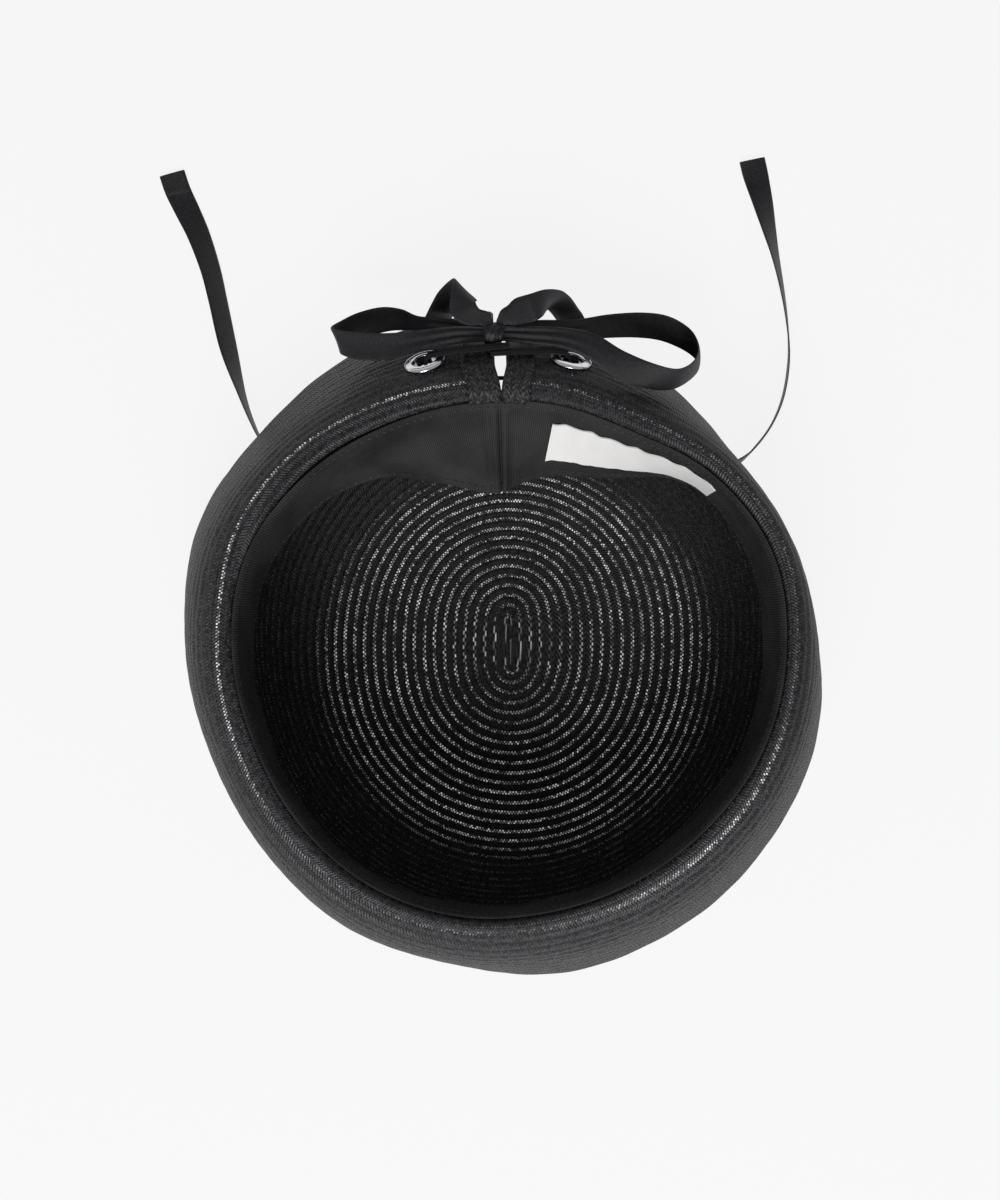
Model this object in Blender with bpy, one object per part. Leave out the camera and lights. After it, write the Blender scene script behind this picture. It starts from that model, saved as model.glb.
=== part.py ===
"""Sailor cap of spiral-sewn braid, lying upside down on its crown.

The crown is a soft bowl that stands on its flat tip. Its rim is tilted, low at the back (+Y) and high at
the front (-Y). The turned-up brim hangs outside the crown, slit at the back and laced with a ribbon.
Everything is in metres, +Z up, with the origin at the middle of the crown tip's flat underside.
"""

import math

import bmesh
import bpy
import numpy as np
from mathutils import Matrix, Vector

# Crown and rim
HEAD_OPENING = 0.181
RIM_HEIGHT = 0.0840
RIM_TILT_DEG = 15.7
RIM_CENTRE_X = -0.0028
RIM_CENTRE_Y = 0.0050
TIP_FLAT_RADIUS = 0.028
BRAID_WALL = 0.0016
FOLD_RADIUS = 0.0022

# Brim, its slit and the braid facings beside it
BRIM_WIDTH = 0.060
SLIT_AZIMUTH_DEG = 91.7
SLIT_START = 0.0055
SLIT_TAPER = 0.0100
SLIT_WIDTH = 0.0040
FACING_WIDTH_LEFT = 0.0115
FACING_WIDTH_RIGHT = 0.0100
FACING_WALL = 0.0012

# Sweatband and label
BAND_WIDTH = 0.035
BAND_WALL = 0.0011
BAND_INSET = 0.0009
LABEL_HEIGHT = 0.0185
LABEL_WALL = 0.0010
LABEL_FROM_EDGE = 0.0088
LABEL_START_DEG = 37.5
LABEL_END_DEG = 79.0

# Eyelets
EYELET_BORE = 0.0080
EYELET_FLANGE = 0.0145
EYELET_WALL = 0.0006
EYELET_ROLL = 0.0009
EYELET_FROM_FOLD = 0.0185
EYELET_LEFT_DISTANCE = 0.0262
EYELET_RIGHT_DISTANCE = 0.0247

# Ribbon
RIBBON_WIDTH = 0.0095
RIBBON_WALL = 0.0010
KNOT_FROM_FOLD = 0.0218
KNOT_ASIDE = 0.0018
KNOT_SIZE = 0.0092
KNOT_SHAPE = (1.0, 0.94, 0.80)
KNOT_ROUNDNESS = 0.82
LOOP_LEFT_REACH = 0.057
LOOP_RIGHT_REACH = 0.073
LACING_BEND = 0.0034
LACING_WIDTH_SHARE = 0.44

GAP = 0.0003
AROUND_STEPS = 58

# Rim and brim by azimuth: rim radius and shoulder as shares of half the head opening and of the brim width
RIM_SECTIONS = [
    # azimuth_deg, radius_share, brim_slope_deg, shoulder_share
    (0, 1.014, 83.0, 0.100),
    (20, 1.040, 91.0, 0.075),
    (40, 1.007, 83.8, 0.083),
    (60, 0.944, 74.0, 0.125),
    (80, 0.941, 69.1, 0.150),
    (100, 0.944, 65.2, 0.150),
    (120, 0.963, 68.7, 0.150),
    (140, 1.004, 75.3, 0.150),
    (160, 1.036, 80.0, 0.167),
    (180, 1.015, 83.0, 0.167),
    (200, 0.983, 82.6, 0.150),
    (220, 0.973, 82.5, 0.150),
    (240, 0.966, 80.7, 0.150),
    (260, 0.949, 79.2, 0.150),
    (280, 0.929, 74.5, 0.150),
    (300, 0.931, 74.8, 0.150),
    (320, 0.951, 75.4, 0.133),
    (340, 0.986, 77.0, 0.117),
]

# Crown wall by azimuth: how square the bowl is, and how far it bulges beyond the rim
BOWL_SECTIONS = [
    # azimuth_deg, squareness, bulge_share
    (0, 2.5, 0.03),
    (60, 2.9, 0.07),
    (90, 3.0, 0.09),
    (120, 2.9, 0.07),
    (180, 3.0, 0.02),
    (225, 3.4, 0.06),
    (270, 4.0, 0.09),
    (315, 3.2, 0.06),
]

# Sweatband by azimuth: how far its free edge leans inward, as a share of the band's width
BAND_SECTIONS = [
    # azimuth_deg, lean_share
    (0, 0.06),
    (20, 0.09),
    (40, 0.09),
    (48, 0.17),
    (55, 0.33),
    (65, 0.49),
    (75, 0.60),
    (85, 0.74),
    (93, 0.84),
    (99, 0.84),
    (106, 0.74),
    (117, 0.55),
    (128, 0.33),
    (150, 0.16),
    (180, 0.06),
    (225, -0.05),
    (290, -0.05),
    (320, 0.02),
]

# Bow loops from the knot out and back: places as shares of the loop's reach, the ribbon's lie in degrees
LOOP_LEFT_SECTIONS = [
    # along, out, rise, width_azimuth_deg, width_elevation_deg, width_share
    (-0.09, -0.005, 0.010, 92, 5, 0.55),
    (-0.234, -0.015, 0.050, 96, -6, 0.66),
    (-0.405, -0.045, 0.068, 80, -6, 0.82),
    (-0.628, -0.081, 0.042, 78, 2, 1.0),
    (-0.816, -0.072, -0.035, 82, 4, 1.0),
    (-0.956, -0.039, -0.105, 108, 2, 1.0),
    (-0.977, -0.007, -0.210, 112, 4, 1.0),
    (-0.920, 0.040, -0.285, 118, 12, 1.0),
    (-0.814, 0.096, -0.310, 116, 20, 1.0),
    (-0.679, 0.128, -0.298, 110, 28, 1.0),
    (-0.563, 0.120, -0.263, 104, 44, 1.0),
    (-0.465, 0.088, -0.210, 100, 60, 0.95),
    (-0.330, 0.060, -0.140, 90, 44, 0.80),
    (-0.09, 0.018, -0.053, 90, 5, 0.55),
]
LOOP_RIGHT_SECTIONS = [
    # along, out, rise, width_azimuth_deg, width_elevation_deg, width_share
    (0.071, -0.004, 0.016, 88, -6, 0.55),
    (0.177, -0.012, 0.038, 88, -8, 0.66),
    (0.330, -0.026, 0.052, 84, -8, 0.78),
    (0.461, -0.070, 0.084, 76, -2, 0.95),
    (0.585, -0.153, 0.110, 72, 6, 1.0),
    (0.723, -0.207, 0.089, 66, 22, 1.0),
    (0.857, -0.218, 0.014, 74, 44, 1.0),
    (0.953, -0.162, -0.082, 90, 56, 1.0),
    (0.989, -0.088, -0.164, 96, 50, 1.0),
    (0.949, -0.012, -0.205, 88, 36, 1.0),
    (0.838, 0.052, -0.233, 77, 26, 1.0),
    (0.711, 0.071, -0.233, 76, 24, 1.0),
    (0.548, 0.062, -0.205, 78, 26, 0.95),
    (0.374, 0.038, -0.170, 76, 26, 0.85),
    (0.203, 0.036, -0.110, 84, 16, 0.68),
    (0.071, 0.020, -0.034, 90, 4, 0.55),
]

# Routes of the two loose tails, chosen by hand from the knot to the hemmed end
TAIL_POINTS = {
    "left": [
        # x_mm, y_mm, z_mm, width_azimuth_deg, width_elevation_deg, width_share
        (-11.2, 119.5, 49.9, 60, 0, 0.55),
        (-15.7, 120.2, 49.9, 46, 2, 0.80),
        (-18.8, 123.6, 49.2, 22, 0, 1.0),
        (-18.3, 127.8, 47.6, -20, -8, 1.0),
        (-18.4, 130.9, 43.5, -44, -14, 1.0),
        (-20.7, 131.0, 37.0, -44, -14, 1.0),
        (-23.7, 129.4, 30.0, -25, -8, 1.0),
        (-26.1, 127.6, 20.0, -10, -4, 1.0),
        (-27.8, 126.2, 11.0, -6, 0, 1.0),
        (-29.4, 124.0, 5.0, -12, 0, 1.0),
        (-32.5, 120.1, 1.8, -20, 0, 1.0),
        (-38.4, 113.5, 1.2, -36, 2, 1.0),
        (-46.5, 105.0, 1.8, -44, 10, 1.0),
        (-56.8, 94.9, 3.2, -48, 28, 1.0),
        (-67.8, 85.2, 4.8, -54, 60, 1.0),
        (-79.5, 78.1, 5.3, -66, 85, 1.0),
        (-88.3, 76.7, 5.3, -100, 89, 1.0),
        (-93.4, 80.3, 5.3, -140, 89, 1.0),
        (-97.1, 87.3, 5.3, -155, 86, 1.0),
        (-100.8, 97.3, 5.2, -158, 78, 1.0),
        (-105.7, 113.9, 4.6, -168, 55, 1.0),
        (-109.8, 132.3, 4.3, -166, 50, 1.0),
        (-112.6, 143.8, 4.0, -163, 45, 1.0),
        (-116.9, 156.1, 3.4, -162, 34, 1.0),
        (-121.1, 165.1, 2.4, -163, 20, 1.0),
        (-124.9, 173.0, 1.4, -165, 7, 1.0),
        (-127.2, 179.6, 0.9, -164, 1, 1.0),
    ],
    "right": [
        # x_mm, y_mm, z_mm, width_azimuth_deg, width_elevation_deg, width_share
        (-4.8, 119.8, 50.0, 110, 5, 0.55),
        (-1.7, 120.7, 49.4, 114, 2, 0.80),
        (1.2, 122.2, 49.4, 112, 2, 1.0),
        (5.4, 123.4, 50.2, 104, 4, 1.0),
        (9.4, 125.4, 47.0, 84, -2, 1.0),
        (12.6, 126.9, 40.4, 54, -2, 1.0),
        (14.5, 127.4, 33.0, 30, 0, 1.0),
        (16.0, 127.2, 26.0, 20, 0, 1.0),
        (17.9, 126.4, 16.0, 16, 0, 1.0),
        (19.8, 125.0, 8.4, 20, 0, 1.0),
        (22.8, 120.4, 3.6, 26, 0, 1.0),
        (26.8, 114.2, 1.6, 34, 0, 1.0),
        (31.1, 108.3, 1.2, 42, 4, 1.0),
        (39.9, 98.7, 2.2, 43, 14, 1.0),
        (49.4, 88.9, 3.8, 46, 40, 1.0),
        (58.9, 80.0, 5.0, 48, 70, 1.0),
        (68.4, 72.6, 5.1, 56, 80, 1.0),
        (75.8, 70.4, 5.0, 96, 78, 1.0),
        (81.6, 72.6, 5.1, 126, 80, 1.0),
        (87.2, 77.4, 5.3, 143, 89, 1.0),
        (93.8, 86.2, 5.3, 157, 88, 1.0),
        (98.2, 96.9, 5.3, 171, 88, 1.0),
        (100.2, 110.1, 5.3, 182, 86, 1.0),
        (99.7, 123.0, 5.2, 186, 80, 1.0),
        (98.0, 135.2, 5.1, 191, 74, 1.0),
        (95.5, 147.9, 4.8, 192, 65, 1.0),
        (93.2, 158.2, 4.2, 192, 50, 1.0),
        (91.0, 168.3, 3.2, 193, 31, 1.0),
        (88.7, 178.2, 1.5, 192, 8, 1.0),
        (87.3, 184.6, 0.9, 192, 1, 1.0),
    ],
}

MATERIALS = {
    # name: base colour, roughness, metallic
    "crown_braid": ((0.020, 0.020, 0.022), 0.62, 0.0),
    "brim_braid": ((0.028, 0.028, 0.031), 0.62, 0.0),
    "facing_braid": ((0.018, 0.018, 0.020), 0.60, 0.0),
    "sweatband_twill": ((0.022, 0.022, 0.023), 0.80, 0.0),
    "label_cloth": ((0.86, 0.86, 0.84), 0.75, 0.0),
    "eyelet_metal": ((0.62, 0.63, 0.65), 0.18, 1.0),
    "ribbon": ((0.016, 0.015, 0.018), 0.55, 0.0),
}


def clear_scene():
    """Remove whatever stands in the start-up scene."""
    for thing in list(bpy.data.objects):
        bpy.data.objects.remove(thing, do_unlink=True)


def make_material(name):
    """Principled material with the piece's colour, roughness and metallic value."""
    colour, roughness, metallic = MATERIALS[name]
    material = bpy.data.materials.new(name)
    material.use_nodes = True
    shader = material.node_tree.nodes["Principled BSDF"]
    shader.inputs["Base Color"].default_value = (*colour, 1.0)
    shader.inputs["Roughness"].default_value = roughness
    shader.inputs["Metallic"].default_value = metallic
    return material


def around(table, azimuth_deg):
    """Every column of a table at an azimuth, on a smooth closed curve through its rows."""
    rows = np.array(table, float)
    keys = rows[:, 0]
    count = len(keys)
    place = float(azimuth_deg) % 360.0
    low = (np.searchsorted(keys, place, side="right") - 1) % count

    def row(step):
        turns, index = divmod(low + step, count)
        return rows[index, 1:], keys[index] + 360.0 * turns

    (v0, k0), (v1, k1), (v2, k2), (v3, k3) = row(-1), row(0), row(1), row(2)
    if k1 > place:
        place += 360.0
    span = k2 - k1
    share = (place - k1) / span
    slope1 = (v2 - v0) / (k2 - k0) * span
    slope2 = (v3 - v1) / (k3 - k1) * span
    s2, s3 = share * share, share ** 3
    return ((2 * s3 - 3 * s2 + 1) * v1 + (s3 - 2 * s2 + share) * slope1
            + (3 * s2 - 2 * s3) * v2 + (s3 - s2) * slope2)


def smooth_path(points, steps):
    """Evenly shared stations on a smooth open curve through rows of numbers."""
    rows = np.array(points, float)
    padded = np.vstack([2 * rows[0] - rows[1], rows, 2 * rows[-1] - rows[-2]])
    stations = []
    for place in np.linspace(0.0, len(rows) - 1.0, steps):
        low = min(int(place), len(rows) - 2)
        share = place - low
        p0, p1, p2, p3 = padded[low:low + 4]
        stations.append(0.5 * (2 * p1 + (p2 - p0) * share
                               + (2 * p0 - 5 * p1 + 4 * p2 - p3) * share ** 2
                               + (3 * p1 - p0 - 3 * p2 + p3) * share ** 3))
    return np.array(stations)


def rim_radius(azimuth_deg):
    """Radius of the crown's inner face at the rim."""
    return HEAD_OPENING / 2 * around(RIM_SECTIONS, azimuth_deg)[0]


def rim_top(azimuth_deg):
    """Height of the fold's top on the tilted rim."""
    reach = rim_radius(azimuth_deg) * math.sin(math.radians(azimuth_deg))
    return RIM_HEIGHT - math.tan(math.radians(RIM_TILT_DEG)) * reach


def in_plan(centre, azimuth_deg, radius, height):
    """A point at a radius and height in the upright plane at an azimuth."""
    angle = math.radians(azimuth_deg)
    return np.array([centre[0] + radius * math.cos(angle), centre[1] + radius * math.sin(angle), height])


def bowl_section(azimuth_deg, heights):
    """Middle line of the crown wall from the pole to the fold's top, as radius and height pairs.

    Below the rim the bowl is a squared ellipse outside the flat tip. Above it a quarter turn leads the
    wall over the top of the fold.
    """
    squareness, bulge = around(BOWL_SECTIONS, azimuth_deg)
    top = rim_top(azimuth_deg) - BRAID_WALL / 2
    wall_radius = rim_radius(azimuth_deg) + BRAID_WALL / 2
    bowl_top = top - FOLD_RADIUS
    base = BRAID_WALL / 2
    line = [(0.0, base), (TIP_FLAT_RADIUS / 2, base), (TIP_FLAT_RADIUS, base)]
    for turn in np.linspace(0.0, math.pi / 2, heights + 1)[1:]:
        out = math.sin(turn) ** (2 / squareness)
        up = 1 - math.cos(turn) ** (2 / squareness)
        widest = wall_radius * (1 + bulge * math.sin(math.pi * up))
        line.append((TIP_FLAT_RADIUS + (widest - TIP_FLAT_RADIUS) * out, base + (bowl_top - base) * up))
    for turn in (math.radians(30), math.radians(60), math.radians(84)):
        line.append((wall_radius + FOLD_RADIUS * (1 - math.cos(turn)), bowl_top + FOLD_RADIUS * math.sin(turn)))
    return np.array(line)


def line_normals(line):
    """Unit normals of a middle line in its upright plane, to the right of its travel."""
    ahead = np.gradient(line, axis=0)
    ahead /= np.linalg.norm(ahead, axis=1)[:, None]
    return np.stack([ahead[:, 1], -ahead[:, 0]], axis=1)


def brim_section(azimuth_deg, places, off):
    """Points of the brim at distances from the fold's top, lifted off its middle surface.

    The slope below level grows with distance s as slope * (1 - exp(-s / shoulder)).
    """
    _, slope_deg, shoulder_share = around(RIM_SECTIONS, azimuth_deg)
    shoulder = shoulder_share * BRIM_WIDTH
    fine = np.linspace(0.0, max(max(places), BRIM_WIDTH) + 1e-6, 121)
    slope = math.radians(slope_deg) * (1 - np.exp(-fine / shoulder))
    step = fine[1] - fine[0]
    out = np.concatenate([[0.0], np.cumsum(np.cos((slope[1:] + slope[:-1]) / 2)) * step])
    down = np.concatenate([[0.0], np.cumsum(np.sin((slope[1:] + slope[:-1]) / 2)) * step])
    place_slope = np.interp(places, fine, slope)
    radius = rim_radius(azimuth_deg) + BRAID_WALL / 2 + FOLD_RADIUS + np.interp(places, fine, out)
    height = rim_top(azimuth_deg) - BRAID_WALL / 2 - np.interp(places, fine, down)
    return radius + off * np.sin(place_slope), height + off * np.cos(place_slope)


def brim_point(azimuth_deg, place, off):
    """One point over or under the brim."""
    radius, height = brim_section(azimuth_deg, [place], off)
    return in_plan((RIM_CENTRE_X, RIM_CENTRE_Y), azimuth_deg, radius[0], height[0])


def slit_half_gap(place):
    """Half the slit's width at a distance from the fold: it opens over the taper, then runs parallel."""
    share = min(max((place - SLIT_START) / SLIT_TAPER, 0.0), 1.0)
    return SLIT_WIDTH / 2 * share * share * (3 - 2 * share)


def brim_places():
    """Distances of the brim's rows from the fold's top, closer together over the shoulder."""
    start = GAP + FOLD_RADIUS * math.radians(6)
    shares = np.array([0.0, 0.035, 0.08, 0.14, 0.21, 0.30, 0.42, 0.56, 0.70, 0.85, 1.0])
    return start + (BRIM_WIDTH - start) * shares


def beside_slit(side, distance, place):
    """Azimuth of a point at a distance from the slit's middle line, on its left or right."""
    radius, _ = brim_section(SLIT_AZIMUTH_DEG, [place], 0.0)
    turn = math.degrees(distance / radius[0])
    return SLIT_AZIMUTH_DEG + (turn if side == "left" else -turn)


def sheet_body(name, upper, lower, material, ring=False, pole=False, joined_rows=0, smooth_angle=50.0):
    """Closed body between two grids of points.

    ring joins the last column to the first, pole gathers the first row into one point, and joined_rows
    closes a slit along the first rows.
    """
    rows, columns = upper.shape[:2]
    ids = np.arange(rows * columns).reshape(rows, columns)
    if ring:
        ids = np.hstack([ids, ids[:, :1]])
    if joined_rows:
        ids[:joined_rows, -1] = ids[:joined_rows, 0]
    if pole:
        ids[0, :] = ids[0, 0]
    faces = []
    for i in range(ids.shape[0] - 1):
        for j in range(ids.shape[1] - 1):
            corners = [ids[i, j], ids[i + 1, j], ids[i + 1, j + 1], ids[i, j + 1]]
            kept = list(dict.fromkeys(int(corner) for corner in corners))
            faces.append(kept)
    edges = {(face[k], face[(k + 1) % len(face)]) for face in faces for k in range(len(face))}
    border = [edge for edge in sorted(edges) if (edge[1], edge[0]) not in edges]
    shift = rows * columns
    walls = [[b, a, a + shift, b + shift] for a, b in border]
    backs = [[corner + shift for corner in reversed(face)] for face in faces]
    points = np.vstack([upper.reshape(-1, 3), lower.reshape(-1, 3)])
    used = sorted({corner for face in faces + backs for corner in face})
    renumber = {old: new for new, old in enumerate(used)}
    mesh = bpy.data.meshes.new(name)
    mesh.from_pydata([tuple(points[i]) for i in used], [],
                     [[renumber[c] for c in face] for face in faces + backs + walls])
    return finish_body(name, mesh, material, smooth_angle)


def finish_body(name, mesh, material, smooth_angle=50.0):
    """Turn the faces outward, shade them smooth and put the object in the scene."""
    builder = bmesh.new()
    builder.from_mesh(mesh)
    bmesh.ops.recalc_face_normals(builder, faces=builder.faces)
    builder.to_mesh(mesh)
    builder.free()
    mesh.shade_smooth()
    mesh.set_sharp_from_angle(angle=math.radians(smooth_angle))
    mesh.materials.append(make_material(material))
    body = bpy.data.objects.new(name, mesh)
    bpy.context.scene.collection.objects.link(body)
    return body


def make_crown():
    """Bowl from its flat tip up the wall and over to the top of the fold."""
    upper, lower = [], []
    for azimuth in np.linspace(0.0, 360.0, AROUND_STEPS, endpoint=False):
        line = bowl_section(azimuth, 12)
        normals = line_normals(line)
        normals[:3] = (0.0, -1.0)
        inside = line - normals * BRAID_WALL / 2
        outside = line + normals * BRAID_WALL / 2
        for store, section in ((upper, inside), (lower, outside)):
            column = []
            for radius, height in section:
                lift = min(height / rim_top(azimuth), 1.0)
                centre = (RIM_CENTRE_X * lift, RIM_CENTRE_Y * lift)
                column.append(in_plan(centre, azimuth, radius, height))
            store.append(column)
    upper = np.array(upper).transpose(1, 0, 2)
    lower = np.array(lower).transpose(1, 0, 2)
    return sheet_body("crown", upper, lower, "crown_braid", ring=True, pole=True)


def make_brim():
    """Turned brim from the top of the fold to the free edge, open along the slit."""
    places = brim_places()
    joined = int(np.sum(places <= SLIT_START))
    upper = np.zeros((len(places), AROUND_STEPS + 1, 3))
    lower = np.zeros_like(upper)
    for i, place in enumerate(places):
        half = slit_half_gap(place)
        first = beside_slit("left", half, place)
        last = beside_slit("right", half, place) + 360.0
        for j, azimuth in enumerate(np.linspace(first, last, AROUND_STEPS + 1)):
            upper[i, j] = brim_point(azimuth, place, BRAID_WALL / 2)
            lower[i, j] = brim_point(azimuth, place, -BRAID_WALL / 2)
    return sheet_body("brim", upper, lower, "brim_braid", joined_rows=joined)


def make_facing(side):
    """Braid strip sewn on the brim's face along one edge of the slit."""
    width = FACING_WIDTH_LEFT if side == "left" else FACING_WIDTH_RIGHT
    off = BRAID_WALL / 2 + 1.5 * GAP
    places = brim_places()
    upper = np.zeros((len(places), 4, 3))
    lower = np.zeros_like(upper)
    for i, place in enumerate(places):
        near = max(slit_half_gap(place), GAP / 2)
        for j, distance in enumerate(np.linspace(near, near + width, 4)):
            azimuth = beside_slit(side, distance, place)
            upper[i, j] = brim_point(azimuth, place, off + FACING_WALL)
            lower[i, j] = brim_point(azimuth, place, off)
    return sheet_body("facing_" + side, upper, lower, "facing_braid")


def band_point(azimuth_deg, place, off):
    """A point on the sweatband at a distance below its sewn edge, lifted toward the hollow."""
    lean = around(BAND_SECTIONS, azimuth_deg)[0]
    share = place / BAND_WIDTH
    # The band leaves its seam upright and leans over along its width
    turn = math.asin(lean) * min(1.0, 0.55 + 0.45 * share)
    inward = place * math.sin(turn)
    down = place * math.cos(turn)
    radius = rim_radius(azimuth_deg) - BAND_INSET - inward - off * math.cos(turn)
    height = rim_top(azimuth_deg) - BAND_INSET - down + off * math.sin(turn)
    return in_plan((RIM_CENTRE_X, RIM_CENTRE_Y), azimuth_deg, radius, height)


def make_sweatband():
    """Ribbed band sewn inside the rim, flopped inward at the back seam."""
    azimuths = np.linspace(0.0, 360.0, AROUND_STEPS, endpoint=False)
    places = np.linspace(0.0, BAND_WIDTH, 6)
    upper = np.array([[band_point(a, p, BAND_WALL / 2) for a in azimuths] for p in places])
    lower = np.array([[band_point(a, p, -BAND_WALL / 2) for a in azimuths] for p in places])
    return sheet_body("sweatband", upper, lower, "sweatband_twill", ring=True)


def make_label():
    """Blank woven label sewn on the sweatband."""
    azimuths = np.linspace(LABEL_END_DEG, LABEL_START_DEG, 15)
    places = np.linspace(LABEL_FROM_EDGE, LABEL_FROM_EDGE + LABEL_HEIGHT, 5)
    off = BAND_WALL / 2 + 2.6 * GAP
    upper = np.array([[band_point(a, p, off + LABEL_WALL) for a in azimuths] for p in places])
    lower = np.array([[band_point(a, p, off) for a in azimuths] for p in places])
    return sheet_body("label", upper, lower, "label_cloth")


def eyelet_place(side):
    """Azimuth of an eyelet's middle."""
    distance = EYELET_LEFT_DISTANCE if side == "left" else EYELET_RIGHT_DISTANCE
    return beside_slit(side, distance, EYELET_FROM_FOLD)


def eyelet_matrix(side):
    """Placement on the brim, with +Z along the brim's outward normal."""
    azimuth = eyelet_place(side)
    middle = Vector(brim_point(azimuth, EYELET_FROM_FOLD, 0.0))
    out = Vector(brim_point(azimuth, EYELET_FROM_FOLD, EYELET_FLANGE)) - middle
    turn = out.to_track_quat("Z", "Y")
    return Matrix.Translation(middle) @ turn.to_matrix().to_4x4()


def cut_eyelet_hole(brim, side):
    """Hole through the brim with running room round the eyelet's barrel."""
    builder = bmesh.new()
    radius = EYELET_BORE / 2 + EYELET_WALL + GAP
    bmesh.ops.create_cone(builder, cap_ends=True, segments=24, radius1=radius, radius2=radius,
                          depth=6 * BRAID_WALL)
    mesh = bpy.data.meshes.new("eyelet_cutter_" + side)
    builder.to_mesh(mesh)
    builder.free()
    cutter = bpy.data.objects.new("eyelet_cutter_" + side, mesh)
    bpy.context.scene.collection.objects.link(cutter)
    cutter.matrix_world = eyelet_matrix(side)
    cutter.hide_render = True
    cutter.display_type = "WIRE"
    cut = brim.modifiers.new("eyelet_hole_" + side, "BOOLEAN")
    cut.operation = "DIFFERENCE"
    cut.object = cutter


def make_eyelet(side):
    """Turned metal eyelet: a domed flange outside, a barrel and a rolled rim inside."""
    bore = EYELET_BORE / 2
    barrel = bore + EYELET_WALL
    flange = EYELET_FLANGE / 2
    roll = barrel + 1.6 * EYELET_ROLL
    # Both faces lie flat, so the inner one clears the brim's hollow curve across the roll
    face = BRAID_WALL / 2 + GAP
    back = -face - roll ** 2 / HEAD_OPENING * 2
    crest = face + EYELET_ROLL
    profile = [
        (bore, back - EYELET_ROLL / 2), (bore, crest - EYELET_ROLL / 2), (bore + 0.4 * EYELET_ROLL, crest),
        ((bore + flange) / 2, crest), (flange - 0.5 * EYELET_ROLL, face + 0.6 * EYELET_ROLL), (flange, face),
        (barrel, face), (barrel, back), (roll, back), (roll - 0.3 * EYELET_ROLL, back - EYELET_ROLL),
        (bore + 0.4 * EYELET_ROLL, back - EYELET_ROLL),
    ]
    builder = bmesh.new()
    ring = [builder.verts.new((radius, 0.0, height)) for radius, height in profile]
    edges = [builder.edges.new((ring[i], ring[(i + 1) % len(ring)])) for i in range(len(ring))]
    bmesh.ops.spin(builder, geom=ring + edges, axis=(0, 0, 1), cent=(0, 0, 0), angle=2 * math.pi,
                   steps=20, use_merge=True)
    bmesh.ops.remove_doubles(builder, verts=builder.verts, dist=1e-6)
    mesh = bpy.data.meshes.new("eyelet_" + side)
    builder.to_mesh(mesh)
    builder.free()
    body = finish_body("eyelet_" + side, mesh, "eyelet_metal", 35.0)
    body.matrix_world = eyelet_matrix(side)
    return body


def width_vector(azimuth_deg, elevation_deg):
    """Direction across the ribbon."""
    azimuth, elevation = math.radians(azimuth_deg), math.radians(elevation_deg)
    level = math.cos(elevation)
    return np.array([level * math.cos(azimuth), level * math.sin(azimuth), math.sin(elevation)])


def ribbon_body(name, stations, steps, wall=RIBBON_WALL):
    """Flat ribbon along stations of place, width direction and width."""
    rows = np.array([np.concatenate([place, across * width]) for place, across, width in stations])
    path = smooth_path(rows, steps)
    middle, across = path[:, :3], path[:, 3:]
    ahead = np.gradient(middle, axis=0)
    facing = np.cross(ahead, across)
    facing /= np.linalg.norm(facing, axis=1)[:, None]
    lift = facing * wall / 2
    upper = np.stack([middle - across / 2 + lift, middle + across / 2 + lift], axis=1)
    lower = np.stack([middle - across / 2 - lift, middle + across / 2 - lift], axis=1)
    return sheet_body(name, upper, lower, "ribbon")


def knot_centre():
    """Middle of the knot, seated on the brim beside the slit's middle line."""
    azimuth = beside_slit("left", KNOT_ASIDE, KNOT_FROM_FOLD)
    off = BRAID_WALL / 2 + GAP + FACING_WALL + GAP + KNOT_SIZE * 0.42
    return brim_point(azimuth, KNOT_FROM_FOLD, off)


def make_knot():
    """Soft squared knot, flatter against the brim."""
    builder = bmesh.new()
    bmesh.ops.create_uvsphere(builder, u_segments=16, v_segments=10, radius=1.0)
    half = Vector(KNOT_SHAPE) * KNOT_SIZE / 2
    for vertex in builder.verts:
        for axis in range(3):
            share = vertex.co[axis]
            vertex.co[axis] = math.copysign(abs(share) ** KNOT_ROUNDNESS, share) * half[axis]
    mesh = bpy.data.meshes.new("bow_knot")
    builder.to_mesh(mesh)
    builder.free()
    body = finish_body("bow_knot", mesh, "ribbon")
    azimuth = beside_slit("left", KNOT_ASIDE, KNOT_FROM_FOLD)
    out = Vector(brim_point(azimuth, KNOT_FROM_FOLD, KNOT_SIZE) - brim_point(azimuth, KNOT_FROM_FOLD, 0.0))
    turn = out.to_track_quat("Z", "Y")
    body.matrix_world = Matrix.Translation(Vector(knot_centre())) @ turn.to_matrix().to_4x4()
    return body


def make_loop(side):
    """One loop of the bow, out from the knot and back to it."""
    table = LOOP_LEFT_SECTIONS if side == "left" else LOOP_RIGHT_SECTIONS
    reach = LOOP_LEFT_REACH if side == "left" else LOOP_RIGHT_REACH
    knot = knot_centre()
    stations = []
    for along, out, rise, azimuth, elevation, width in table:
        place = knot + reach * np.array([along, out, rise])
        stations.append((place, width_vector(azimuth, elevation), RIBBON_WIDTH * width))
    return ribbon_body("bow_loop_" + side, stations, 37)


def lacing_stations(side):
    """Ribbon from beside the knot, round a half turn through an eyelet and back behind the slit.

    Each row is a distance aside from the slit's middle line and a height off the brim's middle surface.
    """
    distance = EYELET_LEFT_DISTANCE if side == "left" else EYELET_RIGHT_DISTANCE
    knot_edge = KNOT_SIZE / 2 + 2 * GAP + (KNOT_ASIDE if side == "left" else -KNOT_ASIDE)
    centre = distance - LACING_BEND
    rows = [(knot_edge, LACING_BEND), ((knot_edge + centre) / 2, LACING_BEND)]
    for turn in np.radians([90, 60, 30, 0, -30, -60, -90]):
        rows.append((centre + LACING_BEND * math.cos(turn), LACING_BEND * math.sin(turn)))
    rows.append((centre / 2, -0.8 * LACING_BEND))
    return rows


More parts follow.
